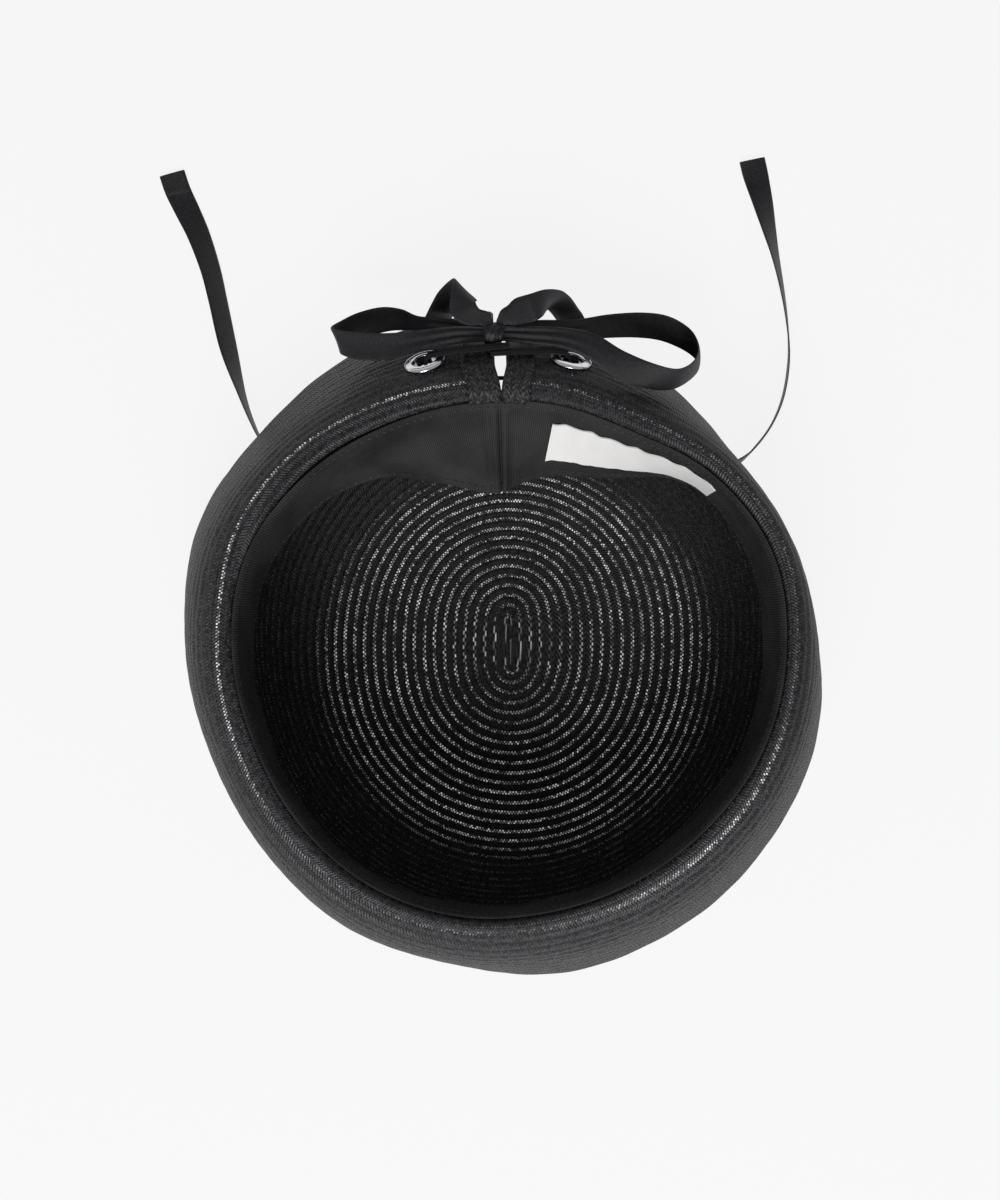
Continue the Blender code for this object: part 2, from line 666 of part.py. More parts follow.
def make_lacing():
    """Ribbon from the knot through one eyelet, behind the slit and out of the other."""
    rows = [("left", *row) for row in lacing_stations("left")] + [("left", 0.0, -0.7 * LACING_BEND)]
    rows += [("right", *row) for row in reversed(lacing_stations("right"))]
    stations = []
    for side, aside, off in rows:
        azimuth = beside_slit(side, aside, EYELET_FROM_FOLD)
        middle = brim_point(azimuth, EYELET_FROM_FOLD, off)
        down_brim = (brim_point(azimuth, EYELET_FROM_FOLD + GAP, 0.0)
                     - brim_point(azimuth, EYELET_FROM_FOLD - GAP, 0.0))
        across = down_brim / np.linalg.norm(down_brim)
        stations.append((middle, across, RIBBON_WIDTH * LACING_WIDTH_SHARE))
    return ribbon_body("ribbon_lacing", stations, 53)


def make_tail(side):
    """Loose end of the ribbon, over the brim's edge, under it and out on the surface."""
    stations = []
    for x_mm, y_mm, z_mm, azimuth, elevation, width in TAIL_POINTS[side]:
        place = np.array([x_mm, y_mm, z_mm]) / 1000
        stations.append((place, width_vector(azimuth, elevation), RIBBON_WIDTH * width))
    return ribbon_body("ribbon_tail_" + side, stations, 61)


def build_cap():
    """Model every piece of the cap."""
    clear_scene()
    make_crown()
    brim = make_brim()
    make_sweatband()
    make_label()
    for side in ("left", "right"):
        make_facing(side)
        cut_eyelet_hole(brim, side)
        make_eyelet(side)
    make_lacing()
    make_knot()
    for side in ("left", "right"):
        make_loop(side)
        make_tail(side)


build_cap()
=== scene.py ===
"""Looks of the sailor cap: braid, sweatband, label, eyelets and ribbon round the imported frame."""

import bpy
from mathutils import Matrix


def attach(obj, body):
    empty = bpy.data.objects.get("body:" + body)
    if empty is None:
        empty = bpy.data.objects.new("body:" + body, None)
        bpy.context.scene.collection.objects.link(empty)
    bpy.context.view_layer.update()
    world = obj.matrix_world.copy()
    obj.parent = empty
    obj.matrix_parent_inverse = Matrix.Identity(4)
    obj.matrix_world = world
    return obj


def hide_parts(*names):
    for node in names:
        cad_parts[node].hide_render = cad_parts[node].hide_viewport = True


bl_info = {
    "name": "Sailor cap looks",
    "version": (1, 0, 0),
    "blender": (4, 5, 0),
    "location": "3D View > Sidebar > Cap",
    "description": "Dresses the frame of a braided sailor cap with its braid, band, label and ribbon",
    "category": "Object",
}

import math

import bmesh
import bpy
import numpy as np
from bpy.props import FloatProperty, FloatVectorProperty, PointerProperty
from mathutils import Vector

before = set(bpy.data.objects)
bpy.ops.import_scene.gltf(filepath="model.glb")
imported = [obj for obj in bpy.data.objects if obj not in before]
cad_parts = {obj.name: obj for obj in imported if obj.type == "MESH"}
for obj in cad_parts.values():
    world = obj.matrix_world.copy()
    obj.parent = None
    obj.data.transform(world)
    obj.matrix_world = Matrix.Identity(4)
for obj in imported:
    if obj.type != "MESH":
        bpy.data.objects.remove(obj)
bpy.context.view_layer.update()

# Crown and rim, as in the part
HEAD_OPENING = 0.181
RIM_HEIGHT = 0.0840
RIM_TILT_DEG = 15.7
RIM_CENTRE = np.array([-0.0028, 0.0050])
TIP_FLAT_RADIUS = 0.028
HOLLOW_MIDDLE = (0.0, 0.0, 0.06)
BRAID_WALL = 0.0016
FOLD_RADIUS = 0.0022

# Brim, slit and facings, as in the part, but for where the slit starts and how it widens
BRIM_WIDTH = 0.060
SLIT_AZIMUTH_DEG = 91.7
SLIT_START = -0.0010
SLIT_TAPER = 0.0125
SLIT_WIDTH = 0.0040
BRIM_EDGE = 0.0008
FACING_WIDTHS = {"left": 0.0115, "right": 0.0100}
FACING_COLUMNS = {"left": 3, "right": 3}
FACING_WALL = 0.0012

# Sweatband and label, as in the part
BAND_WIDTH = 0.035
BAND_INSET = 0.0009
BAND_WALL = 0.0009
LABEL_HEIGHT = 0.0185
LABEL_FROM_EDGE = 0.0088
LABEL_START_DEG = 37.5
LABEL_END_DEG = 79.0
LABEL_WALL = 0.0005

# Eyelets, as in the part
EYELET_BORE = 0.0080
EYELET_FLANGE = 0.0145
EYELET_WALL = 0.0006
EYELET_ROLL = 0.0009
EYELET_LIP = 0.0008
EYELET_MARGIN = 0.0012
EYELET_FROM_FOLD = 0.0185
EYELET_DISTANCES = {"left": 0.0262, "right": 0.0247}

# Ribbon and knot, as in the part, with the real ribbon's thinner wall
RIBBON_WIDTH = 0.0095
RIBBON_WALL = 0.00055
KNOT_FROM_FOLD = 0.0218
KNOT_ASIDE = 0.0018
KNOT_SIZE = 0.0092
KNOT_WRAP_AXIS = (0.86, -0.46, 0.22)
LOOP_REACHES = {"left": 0.057, "right": 0.073}
GAP = 0.0003

# Lacing, which crosses under the knot and passes behind the slit nearer the fold than in the part
LACING_BEND = 0.0034
LACING_WIDTH_SHARE = 0.44
LACING_SAG = 0.0060
LACING_ON_EDGE = 0.015
LACING_LIFTS = {"left": 1.42, "right": 1.10}
LACING_CROSSINGS = {"left": 0.0026, "right": 0.0}
LACING_SIDE_SAG = 0.9
LACING_SIDE_PLACE = 1.15
LACING_KNOT_PLACE = 0.0140
LACING_BEHIND_PLACE = 0.0120
LACING_OVERLAP = 0.0032
LACING_DIP = 0.0030

# Pitches of the weaves in millimetres, and mean radii that turn an azimuth into a length
FACING_WEAVE_MM = 1.5
TWILL_RIB_MM = 0.8
TWILL_WEFT_MM = 0.55
LABEL_WEAVE_MM = 0.45
RIBBON_RIB_MM = 0.5
RIBBON_WARP_MM = 0.32
RIM_RADIUS_MM = 88.0
CROWN_RADIUS_MM = 92.0
BRIM_RADIUS_MM = 95.0

# Sewn lines of the sweatband, with each line's share of the band's width
BAND_SEAM_DEG = 92.4
BAND_RIDGES = [
    # height, azimuth from the seam in degrees, width in degrees
    (0.0007, 1.5, 0.7),
    (0.0007, -1.5, 0.8),
    (-0.0005, 3.4, 1.0),
    (-0.0004, -3.8, 1.1),
    (0.0003, 5.6, 1.0),
]
STITCH_LENGTH = 0.0028
STITCH_THREAD = 0.00042
STITCH_SHARE = 0.72
STITCH_SINK = 0.00022
STITCH_RINGS = 6
STITCH_LINES = {"rim": 0.05, "hem": 0.93}

# Where each tail comes out of the knot's own folds, from its middle in millimetres
TAIL_ROOT_MM = {"left": (-1.2, 2.4, 1.2), "right": (1.4, 2.4, 1.2)}

# Spiral of braid: the straight middle of its first turns, which fades outward, and the grid's steps
SPIRAL_LONGEST = 0.200
SPIRAL_MIDDLE = 0.0185
SPIRAL_EASE = 0.170
SPIRAL_END_ROUNDING = 0.12
SPIRAL_ASIDE = (-0.0022, 0.0066)
ROW_STEPS = 4
CROWN_COLUMNS = 240
BRIM_COLUMNS = 560
BAND_COLUMNS = 720
BAND_FINE_DEG = (84.0, 101.0)
LOOP_STEPS = 220
LACING_STEPS = 260
TAIL_STEPS = 420
HEM_LENGTH = 0.008

# Slant of the plaits, and the two lanes of gaps beside each valley, as shares of a row
PLAIT_SLANT = 2.4
GAP_LANE = 0.415
GAP_STAGGER = 0.25
BRAID_LOOKS = {
    # strength of the painted glow standing for light through the gaps, roughness, shine
    "crown": (0.9, 0.62, 0.25),
    "brim": (1.1, 0.50, 0.40),
    "facing": (0.5, 0.62, 0.32),
}

# Share of a gap's painted brightness that glows, standing for light from the lit paper behind coming
# through the weave, and the share of that painted light that the facings show
GLINT_GLOW = 0.95
FACING_LIGHT = 0.12

# Row of the brim where light through the gaps is painted, counted from inside the fold, its way across
# the brim, and the two directions where the painted light is bright
LIT_ROW = 2
LIT_SECTORS = [
    # azimuth_deg, cosine where it starts, cosine where it is full, least share
    (152, 0.50, 0.75, 0.22),
    (318, 0.86, 0.95, 0.22),
]
LIT_ROW_SECTIONS = [
    # azimuth_deg, place_mm
    (0, 0.9),
    (60, 2.6),
    (100, 4.2),
    (120, 5.4),
    (138, 5.9),
    (155, 4.0),
    (170, 1.8),
    (200, 2.8),
    (232, 2.3),
    (300, 1.9),
    (325, 2.1),
    (340, 0.9),
]

# Camera, found from the photograph's view of the rim
CAMERA_PLACE = (-0.0059, 0.02185, 0.800)
CAMERA_LENS_MM = 64.83
CAMERA_SENSOR_MM = 36.0

# Floor and lights: place, size and share of the key light's power
FLOOR_HALF = 3
FLOOR_DROP = 0.0005
FLOOR_CLEARANCE = 0.0002
LIGHTS = {
    "key_light": ((-0.15, -0.85, 1.10), 0.7, 1.0),
    "fill_light": ((0.35, -1.2, 0.75), 0.9, 0.3),
}

RIM_SECTIONS = [
    # azimuth_deg, radius_share, brim_slope_deg, shoulder_share
    (0, 1.014, 83.0, 0.100),
    (20, 1.040, 91.0, 0.075),
    (40, 1.007, 83.8, 0.083),
    (60, 0.944, 74.0, 0.125),
    (80, 0.941, 69.1, 0.150),
    (100, 0.944, 65.2, 0.150),
    (120, 0.963, 68.7, 0.150),
    (140, 1.004, 75.3, 0.150),
    (160, 1.036, 80.0, 0.167),
    (180, 1.015, 83.0, 0.167),
    (200, 0.983, 82.6, 0.150),
    (220, 0.973, 82.5, 0.150),
    (240, 0.966, 80.7, 0.150),
    (260, 0.949, 79.2, 0.150),
    (280, 0.929, 74.5, 0.150),
    (300, 0.931, 74.8, 0.150),
    (320, 0.951, 75.4, 0.133),
    (340, 0.986, 77.0, 0.117),
]
BOWL_SECTIONS = [
    # azimuth_deg, squareness, bulge_share
    (0, 2.5, 0.03),
    (60, 2.9, 0.07),
    (90, 3.0, 0.09),
    (120, 2.9, 0.07),
    (180, 3.0, 0.02),
    (225, 3.4, 0.06),
    (270, 4.0, 0.09),
    (315, 3.2, 0.06),
]
BAND_SECTIONS = [
    # azimuth_deg, lean_share
    (0, 0.06),
    (20, 0.09),
    (40, 0.09),
    (48, 0.17),
    (55, 0.33),
    (65, 0.49),
    (75, 0.60),
    (85, 0.74),
    (93, 0.84),
    (99, 0.84),
    (106, 0.74),
    (117, 0.55),
    (128, 0.33),
    (150, 0.16),
    (180, 0.06),
    (225, -0.05),
    (290, -0.05),
    (320, 0.02),
]
LOOP_SECTIONS = {
    "left": [
        # along, out, rise, width_azimuth_deg, width_elevation_deg, width_share
        (0.03, -0.005, 0.000, 92, 5, 0.42),
        (-0.09, -0.005, 0.010, 92, 5, 0.55),
        (-0.234, -0.015, 0.050, 96, -6, 0.66),
        (-0.405, -0.045, 0.068, 80, -6, 0.82),
        (-0.628, -0.081, 0.042, 78, 2, 1.0),
        (-0.816, -0.072, -0.035, 82, 4, 1.0),
        (-0.956, -0.039, -0.105, 108, 2, 1.0),
        (-0.977, -0.007, -0.210, 112, 4, 1.0),
        (-0.920, 0.040, -0.285, 118, 12, 1.0),
        (-0.814, 0.096, -0.310, 116, 20, 1.0),
        (-0.679, 0.128, -0.298, 110, 28, 1.0),
        (-0.563, 0.120, -0.263, 104, 44, 1.0),
        (-0.465, 0.088, -0.210, 100, 60, 0.95),
        (-0.330, 0.060, -0.140, 90, 44, 0.80),
        (-0.09, 0.018, -0.053, 90, 5, 0.55),
        (0.03, 0.010, -0.030, 90, 5, 0.42),
    ],
    "right": [
        # along, out, rise, width_azimuth_deg, width_elevation_deg, width_share
        (-0.03, -0.002, 0.000, 88, 5, 0.42),
        (0.071, -0.004, 0.016, 88, -6, 0.55),
        (0.177, -0.012, 0.038, 88, -8, 0.66),
        (0.330, -0.026, 0.052, 84, -8, 0.78),
        (0.461, -0.070, 0.084, 76, -2, 0.95),
        (0.585, -0.153, 0.110, 72, 6, 1.0),
        (0.723, -0.207, 0.089, 66, 22, 1.0),
        (0.857, -0.218, 0.014, 74, 44, 1.0),
        (0.953, -0.162, -0.082, 90, 56, 1.0),
        (0.989, -0.088, -0.164, 96, 50, 1.0),
        (0.949, -0.012, -0.205, 88, 36, 1.0),
        (0.838, 0.052, -0.233, 77, 26, 1.0),
        (0.711, 0.071, -0.233, 76, 24, 1.0),
        (0.548, 0.062, -0.205, 78, 26, 0.95),
        (0.374, 0.038, -0.170, 76, 26, 0.85),
        (0.203, 0.036, -0.110, 84, 16, 0.68),
        (0.071, 0.020, -0.034, 90, 4, 0.55),
        (-0.03, 0.010, -0.020, 90, 4, 0.42),
    ],
}

# Routes of the two loose tails, listed from the knot to the hemmed end, as in the part
TAIL_POINTS = {
    "left": [
        # x_mm, y_mm, z_mm, width_azimuth_deg, width_elevation_deg, width_share
        (-11.2, 119.5, 49.9, 60, 0, 0.55),
        (-15.7, 120.2, 49.9, 46, 2, 0.80),
        (-18.8, 123.6, 49.2, 22, 0, 1.0),
        (-18.3, 127.8, 47.6, -20, -8, 1.0),
        (-18.4, 130.9, 43.5, -44, -14, 1.0),
        (-20.7, 131.0, 37.0, -44, -14, 1.0),
        (-23.7, 129.4, 30.0, -25, -8, 1.0),
        (-26.1, 127.6, 20.0, -10, -4, 1.0),
        (-27.8, 126.2, 11.0, -6, 0, 1.0),
        (-29.4, 124.0, 5.0, -12, 0, 1.0),
        (-32.5, 120.1, 1.8, -20, 0, 1.0),
        (-38.4, 113.5, 1.2, -36, 2, 1.0),
        (-46.5, 105.0, 1.8, -44, 10, 1.0),
        (-56.8, 94.9, 3.2, -48, 28, 1.0),
        (-67.8, 85.2, 4.8, -54, 60, 1.0),
        (-79.5, 78.1, 5.3, -66, 85, 1.0),
        (-88.3, 76.7, 5.3, -100, 89, 1.0),
        (-93.4, 80.3, 5.3, -140, 89, 1.0),
        (-97.1, 87.3, 5.3, -155, 86, 1.0),
        (-100.8, 97.3, 5.2, -158, 78, 1.0),
        (-105.7, 113.9, 4.6, -168, 55, 1.0),
        (-109.8, 132.3, 4.3, -166, 50, 1.0),
        (-112.6, 143.8, 4.0, -163, 45, 1.0),
        (-116.9, 156.1, 3.4, -162, 34, 1.0),
        (-121.1, 165.1, 2.4, -163, 20, 1.0),
        (-124.9, 173.0, 1.4, -165, 7, 1.0),
        (-127.2, 179.6, 0.9, -164, 1, 1.0),
    ],
    "right": [
        # x_mm, y_mm, z_mm, width_azimuth_deg, width_elevation_deg, width_share
        (-4.8, 119.8, 50.0, 110, 5, 0.55),
        (-1.7, 120.7, 49.4, 114, 2, 0.80),
        (1.2, 122.2, 49.4, 112, 2, 1.0),
        (5.4, 123.4, 50.2, 104, 4, 1.0),
        (9.4, 125.4, 47.0, 84, -2, 1.0),
        (12.6, 126.9, 40.4, 54, -2, 1.0),
        (14.5, 127.4, 33.0, 30, 0, 1.0),
        (16.0, 127.2, 26.0, 20, 0, 1.0),
        (17.9, 126.4, 16.0, 16, 0, 1.0),
        (19.8, 125.0, 8.4, 20, 0, 1.0),
        (22.8, 120.4, 3.6, 26, 0, 1.0),
        (26.8, 114.2, 1.6, 34, 0, 1.0),
        (31.1, 108.3, 1.2, 42, 4, 1.0),
        (39.9, 98.7, 2.2, 43, 14, 1.0),
        (49.4, 88.9, 3.8, 46, 40, 1.0),
        (58.9, 80.0, 5.0, 48, 70, 1.0),
        (68.4, 72.6, 5.1, 56, 80, 1.0),
        (75.8, 70.4, 5.0, 96, 78, 1.0),
        (81.6, 72.6, 5.1, 126, 80, 1.0),
        (87.2, 77.4, 5.3, 143, 89, 1.0),
        (93.8, 86.2, 5.3, 157, 88, 1.0),
        (98.2, 96.9, 5.3, 171, 88, 1.0),
        (100.2, 110.1, 5.3, 182, 86, 1.0),
        (99.7, 123.0, 5.2, 186, 80, 1.0),
        (98.0, 135.2, 5.1, 191, 74, 1.0),
        (95.5, 147.9, 4.8, 192, 65, 1.0),
        (93.2, 158.2, 4.2, 192, 50, 1.0),
        (91.0, 168.3, 3.2, 193, 31, 1.0),
        (88.7, 178.2, 1.5, 192, 8, 1.0),
        (87.3, 184.6, 0.9, 192, 1, 1.0),
    ],
}


def linear(code):
    """Linear colour of an sRGB hex value."""
    shares = [int(code[k:k + 2], 16) / 255 for k in (1, 3, 5)]
    return tuple(s / 12.92 if s <= 0.04045 else ((s + 0.055) / 1.055) ** 2.4 for s in shares)


def curve_through(table, azimuth_deg):
    """Every column of a table at azimuths, on a smooth closed cubic through its rows."""
    rows = np.array(table, float)
    keys = rows[:, 0]
    count = len(keys)
    place = np.mod(azimuth_deg, 360.0)
    low = np.searchsorted(keys, place, side="right") - 1

    def row(step):
        turns, index = np.divmod(low + step, count)
        return rows[index, 1:], keys[index] + 360.0 * turns

    (v0, k0), (v1, k1), (v2, k2), (v3, k3) = row(-1), row(0), row(1), row(2)
    span = (k2 - k1)[..., None]
    share = ((place - k1) / (k2 - k1))[..., None]
    slope1 = (v2 - v0) / (k2 - k0)[..., None] * span
    slope2 = (v3 - v1) / (k3 - k1)[..., None] * span
    s2, s3 = share ** 2, share ** 3
    return ((2 * s3 - 3 * s2 + 1) * v1 + (s3 - 2 * s2 + share) * slope1
            + (3 * s2 - 2 * s3) * v2 + (s3 - s2) * slope2)


def smooth_path(points, steps):
    """Evenly shared stations on a smooth open cubic through rows of numbers."""
    rows = np.array(points, float)
    padded = np.vstack([2 * rows[0] - rows[1], rows, 2 * rows[-1] - rows[-2]])
    place = np.linspace(0.0, len(rows) - 1.0, steps)
    low = np.minimum(place.astype(int), len(rows) - 2)
    share = (place - low)[:, None]
    p0, p1, p2, p3 = padded[low], padded[low + 1], padded[low + 2], padded[low + 3]
    return 0.5 * (2 * p1 + (p2 - p0) * share + (2 * p0 - 5 * p1 + 4 * p2 - p3) * share ** 2
                  + (3 * p1 - p0 - 3 * p2 + p3) * share ** 3)


def path_lengths(points):
    """Distance along a route at each of its points."""
    return np.concatenate([[0.0], np.cumsum(np.linalg.norm(np.diff(points, axis=0), axis=1))])


def unit(vector):
    """One vector at a length of 1."""
    return vector / np.linalg.norm(vector)


def rim_radius(azimuth_deg):
    """Radius of the crown's inner face at the rim."""
    return HEAD_OPENING / 2 * curve_through(RIM_SECTIONS, azimuth_deg)[..., 0]


def rim_top(azimuth_deg):
    """Height of the fold's top on the tilted rim."""
    reach = rim_radius(azimuth_deg) * np.sin(np.radians(azimuth_deg))
    return RIM_HEIGHT - math.tan(math.radians(RIM_TILT_DEG)) * reach


def in_plan(azimuth_deg, radius, height, lift=1.0):
    """Points at radii and heights round the rim's centre, or the tip's where lift is under 1."""
    angle = np.radians(azimuth_deg)
    return np.stack([RIM_CENTRE[0] * lift + radius * np.cos(angle),
                     RIM_CENTRE[1] * lift + radius * np.sin(angle), height + 0.0 * angle], axis=-1)


def brim_point(azimuth_deg, place, off):
    """Points over the brim at distances from the fold's top.

    Past the top the slope below level is slope * (1 - exp(-s / shoulder)), and out and down are the
    integrals of its cosine and sine. Before the top the line is a quarter turn of the fold's radius.
    """
    azimuth_deg, place, off = np.broadcast_arrays(np.asarray(azimuth_deg, float), place, off)
    _, slope_deg, shoulder_share = np.moveaxis(curve_through(RIM_SECTIONS, azimuth_deg), -1, 0)
    fine = np.maximum(place, 0.0)[..., None] * np.linspace(0.0, 1.0, 41)
    shoulder = (shoulder_share * BRIM_WIDTH)[..., None]
    slope = np.radians(slope_deg)[..., None] * (1 - np.exp(-fine / shoulder))
    step = np.diff(fine, axis=-1)
    middle = (slope[..., 1:] + slope[..., :-1]) / 2
    turn = np.minimum(place, 0.0) / FOLD_RADIUS
    lean = slope[..., -1] + turn
    out = (np.cos(middle) * step).sum(-1) + FOLD_RADIUS * np.sin(turn)
    down = (np.sin(middle) * step).sum(-1) + FOLD_RADIUS * (1 - np.cos(turn))
    radius = rim_radius(azimuth_deg) + BRAID_WALL / 2 + FOLD_RADIUS + out + off * np.sin(lean)
    height = rim_top(azimuth_deg) - BRAID_WALL / 2 - down + off * np.cos(lean)
    return in_plan(azimuth_deg, radius, height)


def slit_half_gap(place):
    """Half the slit's width at a distance from the fold."""
    share = np.clip((place - SLIT_START) / SLIT_TAPER, 0.0, 1.0)
    return SLIT_WIDTH / 2 * share * share * (3 - 2 * share)


def beside_slit(side, distance, place):
    """Azimuth of points at distances from the slit's middle line, on its left or right."""
    middle = brim_point(SLIT_AZIMUTH_DEG, place, 0.0)
    radius = np.linalg.norm(middle[..., :2] - RIM_CENTRE, axis=-1)
    turn = np.degrees(distance / radius)
    return SLIT_AZIMUTH_DEG + (turn if side == "left" else -turn)


def band_point(azimuth_deg, place, off):
    """Points on the sweatband at distances below its sewn edge, lifted toward the hollow."""
    azimuth_deg, place, off = np.broadcast_arrays(np.asarray(azimuth_deg, float), place, off)
    lean = curve_through(BAND_SECTIONS, azimuth_deg)[..., 0]
    turn = np.arcsin(lean) * np.minimum(1.0, 0.55 + 0.45 * place / BAND_WIDTH)
    radius = rim_radius(azimuth_deg) - BAND_INSET - place * np.sin(turn) - off * np.cos(turn)
    height = rim_top(azimuth_deg) - BAND_INSET - place * np.cos(turn) + off * np.sin(turn)
    return in_plan(azimuth_deg, radius, height)


def grid_normals(points):
    """Unit normals of a grid of points."""
    normals = np.cross(np.gradient(points, axis=0), np.gradient(points, axis=1))
    return normals / np.maximum(np.linalg.norm(normals, axis=-1, keepdims=True), 1e-12)


def row_lift(phase, depth):
    """Height of a row of braid above its valleys, a low round arch of the given depth."""
    return depth * (np.sin(np.pi * np.mod(phase, 1.0)) ** 0.8 - 1.0)


def finish_mesh(name, mesh, material, sharp_deg=60.0):
    """Turn the faces outward, shade them smooth, and give the object its material and its body."""
    builder = bmesh.new()
    builder.from_mesh(mesh)
    bmesh.ops.recalc_face_normals(builder, faces=builder.faces)
    builder.to_mesh(mesh)
    builder.free()
    mesh.shade_smooth()
    mesh.set_sharp_from_angle(angle=math.radians(sharp_deg))
    mesh.materials.append(material)
    piece = bpy.data.objects.new(name, mesh)
    bpy.context.scene.collection.objects.link(piece)
    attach(piece, "root")
    return piece


def face_corners(grid):
    """Values of a grid at the four corners of each face."""
    return np.stack([grid[:-1, :-1], grid[1:, :-1], grid[1:, 1:], grid[:-1, 1:]], axis=-1)


def joined_faces(points, scale):
    """Faces of a grid whose points that coincide are one, and the first of each in the grid."""
    keys = np.round(points.reshape(-1, 3) * scale).astype(np.int64)
    _, first, same = np.unique(keys, axis=0, return_index=True, return_inverse=True)
    return first, face_corners(same.reshape(points.shape[:2])).reshape(-1, 4)


def whole_plaits(stitches, share, weave_mm):
    """Lengths along the rows at each face's corners, with a whole number of plaits to a turn."""
    near = stitches * share[:-1] * weave_mm
    far = stitches * share[1:] * weave_mm
    return np.stack([near, near, far, far], axis=-1)


def sheet_piece(name, front, back, along, across, material, dropped=None):
    """Closed body between two grids of points, with corner coordinates along and across its surface.

    Points of the middle surface that coincide are one point, which closes rings and spirals. Where
    dropped is true, the face is left open. along and across hold four corners for each face.
    """
    first, faces = joined_faces(front + back, 5e6)
    uvs = np.stack([along, across], axis=-1).reshape(-1, 4, 2)
    ordered = np.sort(faces, axis=1)
    kept = (np.diff(ordered, axis=1) > 0).sum(axis=1) >= 2
    if dropped is not None:
        kept &= ~dropped.reshape(-1)
    faces, uvs = faces[kept], uvs[kept]
    ahead = np.roll(faces, -1, axis=1)
    count = len(first)
    forward = (faces * count + ahead).reshape(-1)
    backward = (ahead * count + faces).reshape(-1)
    border = ~np.isin(forward, backward) & (faces != ahead).reshape(-1)
    start, end = faces.reshape(-1)[border], ahead.reshape(-1)[border]
    start_uv = uvs.reshape(-1, 2)[border]
    end_uv = np.roll(uvs, -1, axis=1).reshape(-1, 2)[border]
    walls = np.stack([end, start, start + count, end + count], axis=1)
    wall_uvs = np.stack([end_uv, start_uv, start_uv, end_uv], axis=1)
    every = np.vstack([faces, faces[:, ::-1] + count, walls])
    every_uv = np.vstack([uvs, uvs[:, ::-1], wall_uvs])
    distinct = every != np.roll(every, 1, axis=1)
    whole = distinct.all(axis=1)
    polygons = every[whole].tolist()
    polygons += [row[mask].tolist() for row, mask in zip(every[~whole], distinct[~whole])]
    corner_uv = np.vstack([every_uv[whole].reshape(-1, 2), every_uv[~whole][distinct[~whole]]])
    points = np.vstack([front.reshape(-1, 3)[first], back.reshape(-1, 3)[first]])
    used = np.unique(every)
    renumber = np.zeros(2 * count, int)
    renumber[used] = np.arange(len(used))
    mesh = bpy.data.meshes.new(name)
    mesh.from_pydata(points[used].tolist(), [], [[int(renumber[c]) for c in face] for face in polygons])
    layer = mesh.uv_layers.new(name="surface")
    layer.data.foreach_set("uv", corner_uv.astype(np.float32).reshape(-1))
    return finish_mesh(name, mesh, material)


def add_node(tree, kind, inputs=None, **settings):
    """Add a node with its settings, and set or link its inputs by name or number."""
    made = tree.nodes.new(kind)
    for name, value in settings.items():
        setattr(made, name, value)
    for key, value in (inputs or {}).items():
        if isinstance(value, bpy.types.NodeSocket):
            tree.links.new(value, made.inputs[key])
        else:
            made.inputs[key].default_value = value
    return made.outputs[0]


def math_node(tree, operation, *values, **settings):
    """Add a node that works one operation on its values."""
    return add_node(tree, "ShaderNodeMath", dict(enumerate(values)), operation=operation, **settings)


def straight_step(tree, value, start, end, low, high, **settings):
    """Add a node that takes start to end into low to high in a straight line."""
    return add_node(tree, "ShaderNodeMapRange", {0: value, 1: start, 2: end, 3: low, 4: high}, **settings)


def smooth_step(tree, *values):
    """Add a node that takes a range into another with soft ends."""
    return straight_step(tree, *values, interpolation_type="SMOOTHSTEP")


def product(tree, value, *others):
    """Add the nodes that multiply values one after another."""
    for other in others:
        value = math_node(tree, "MULTIPLY", value, other)
    return value


def wave_node(tree, place_mm, pitch_mm):
    """Add a sine wave of a given pitch."""
    return math_node(tree, "SINE", product(tree, place_mm, 2 * math.pi / pitch_mm))


def noise_node(tree, place, scale, detail):
    """Add cloudy noise."""
    return add_node(tree, "ShaderNodeTexNoise", {"Vector": place, "Scale": scale, "Detail": detail})


def scaled_node(tree, vector, scale):
    """Add a node that scales a colour or vector."""
    return add_node(tree, "ShaderNodeVectorMath", {0: vector, "Scale": scale}, operation="SCALE")


def own_place(tree):
    """Place on the piece in metres."""
    return tree.nodes.new("ShaderNodeTexCoord").outputs["Object"]


def set_relief(tree, shader, height, strength, depth):
    """Give a shader the relief of a height."""
    bump = add_node(tree, "ShaderNodeBump", {"Height": height, "Strength": strength, "Distance": depth})
    tree.links.new(bump, shader.inputs["Normal"])


def new_material(name, roughness, **constants):
    """Material with a Principled shader and its constant values."""
    material = bpy.data.materials.new(name)
    material.use_nodes = True
    shader = material.node_tree.nodes["Principled BSDF"]
    shader.inputs["Roughness"].default_value = roughness
    for socket, value in constants.items():
        shader.inputs[socket.replace("_", " ").title().replace("Ior", "IOR")].default_value = value
    return material, material.node_tree, shader


def surface_uv(tree):
    """The two surface coordinates: millimetres along and rows or millimetres across."""
    spot = add_node(tree, "ShaderNodeUVMap", uv_map="surface")
    split = tree.nodes.new("ShaderNodeSeparateXYZ")
    tree.links.new(spot, split.inputs[0])
    return split.outputs[0], split.outputs[1]


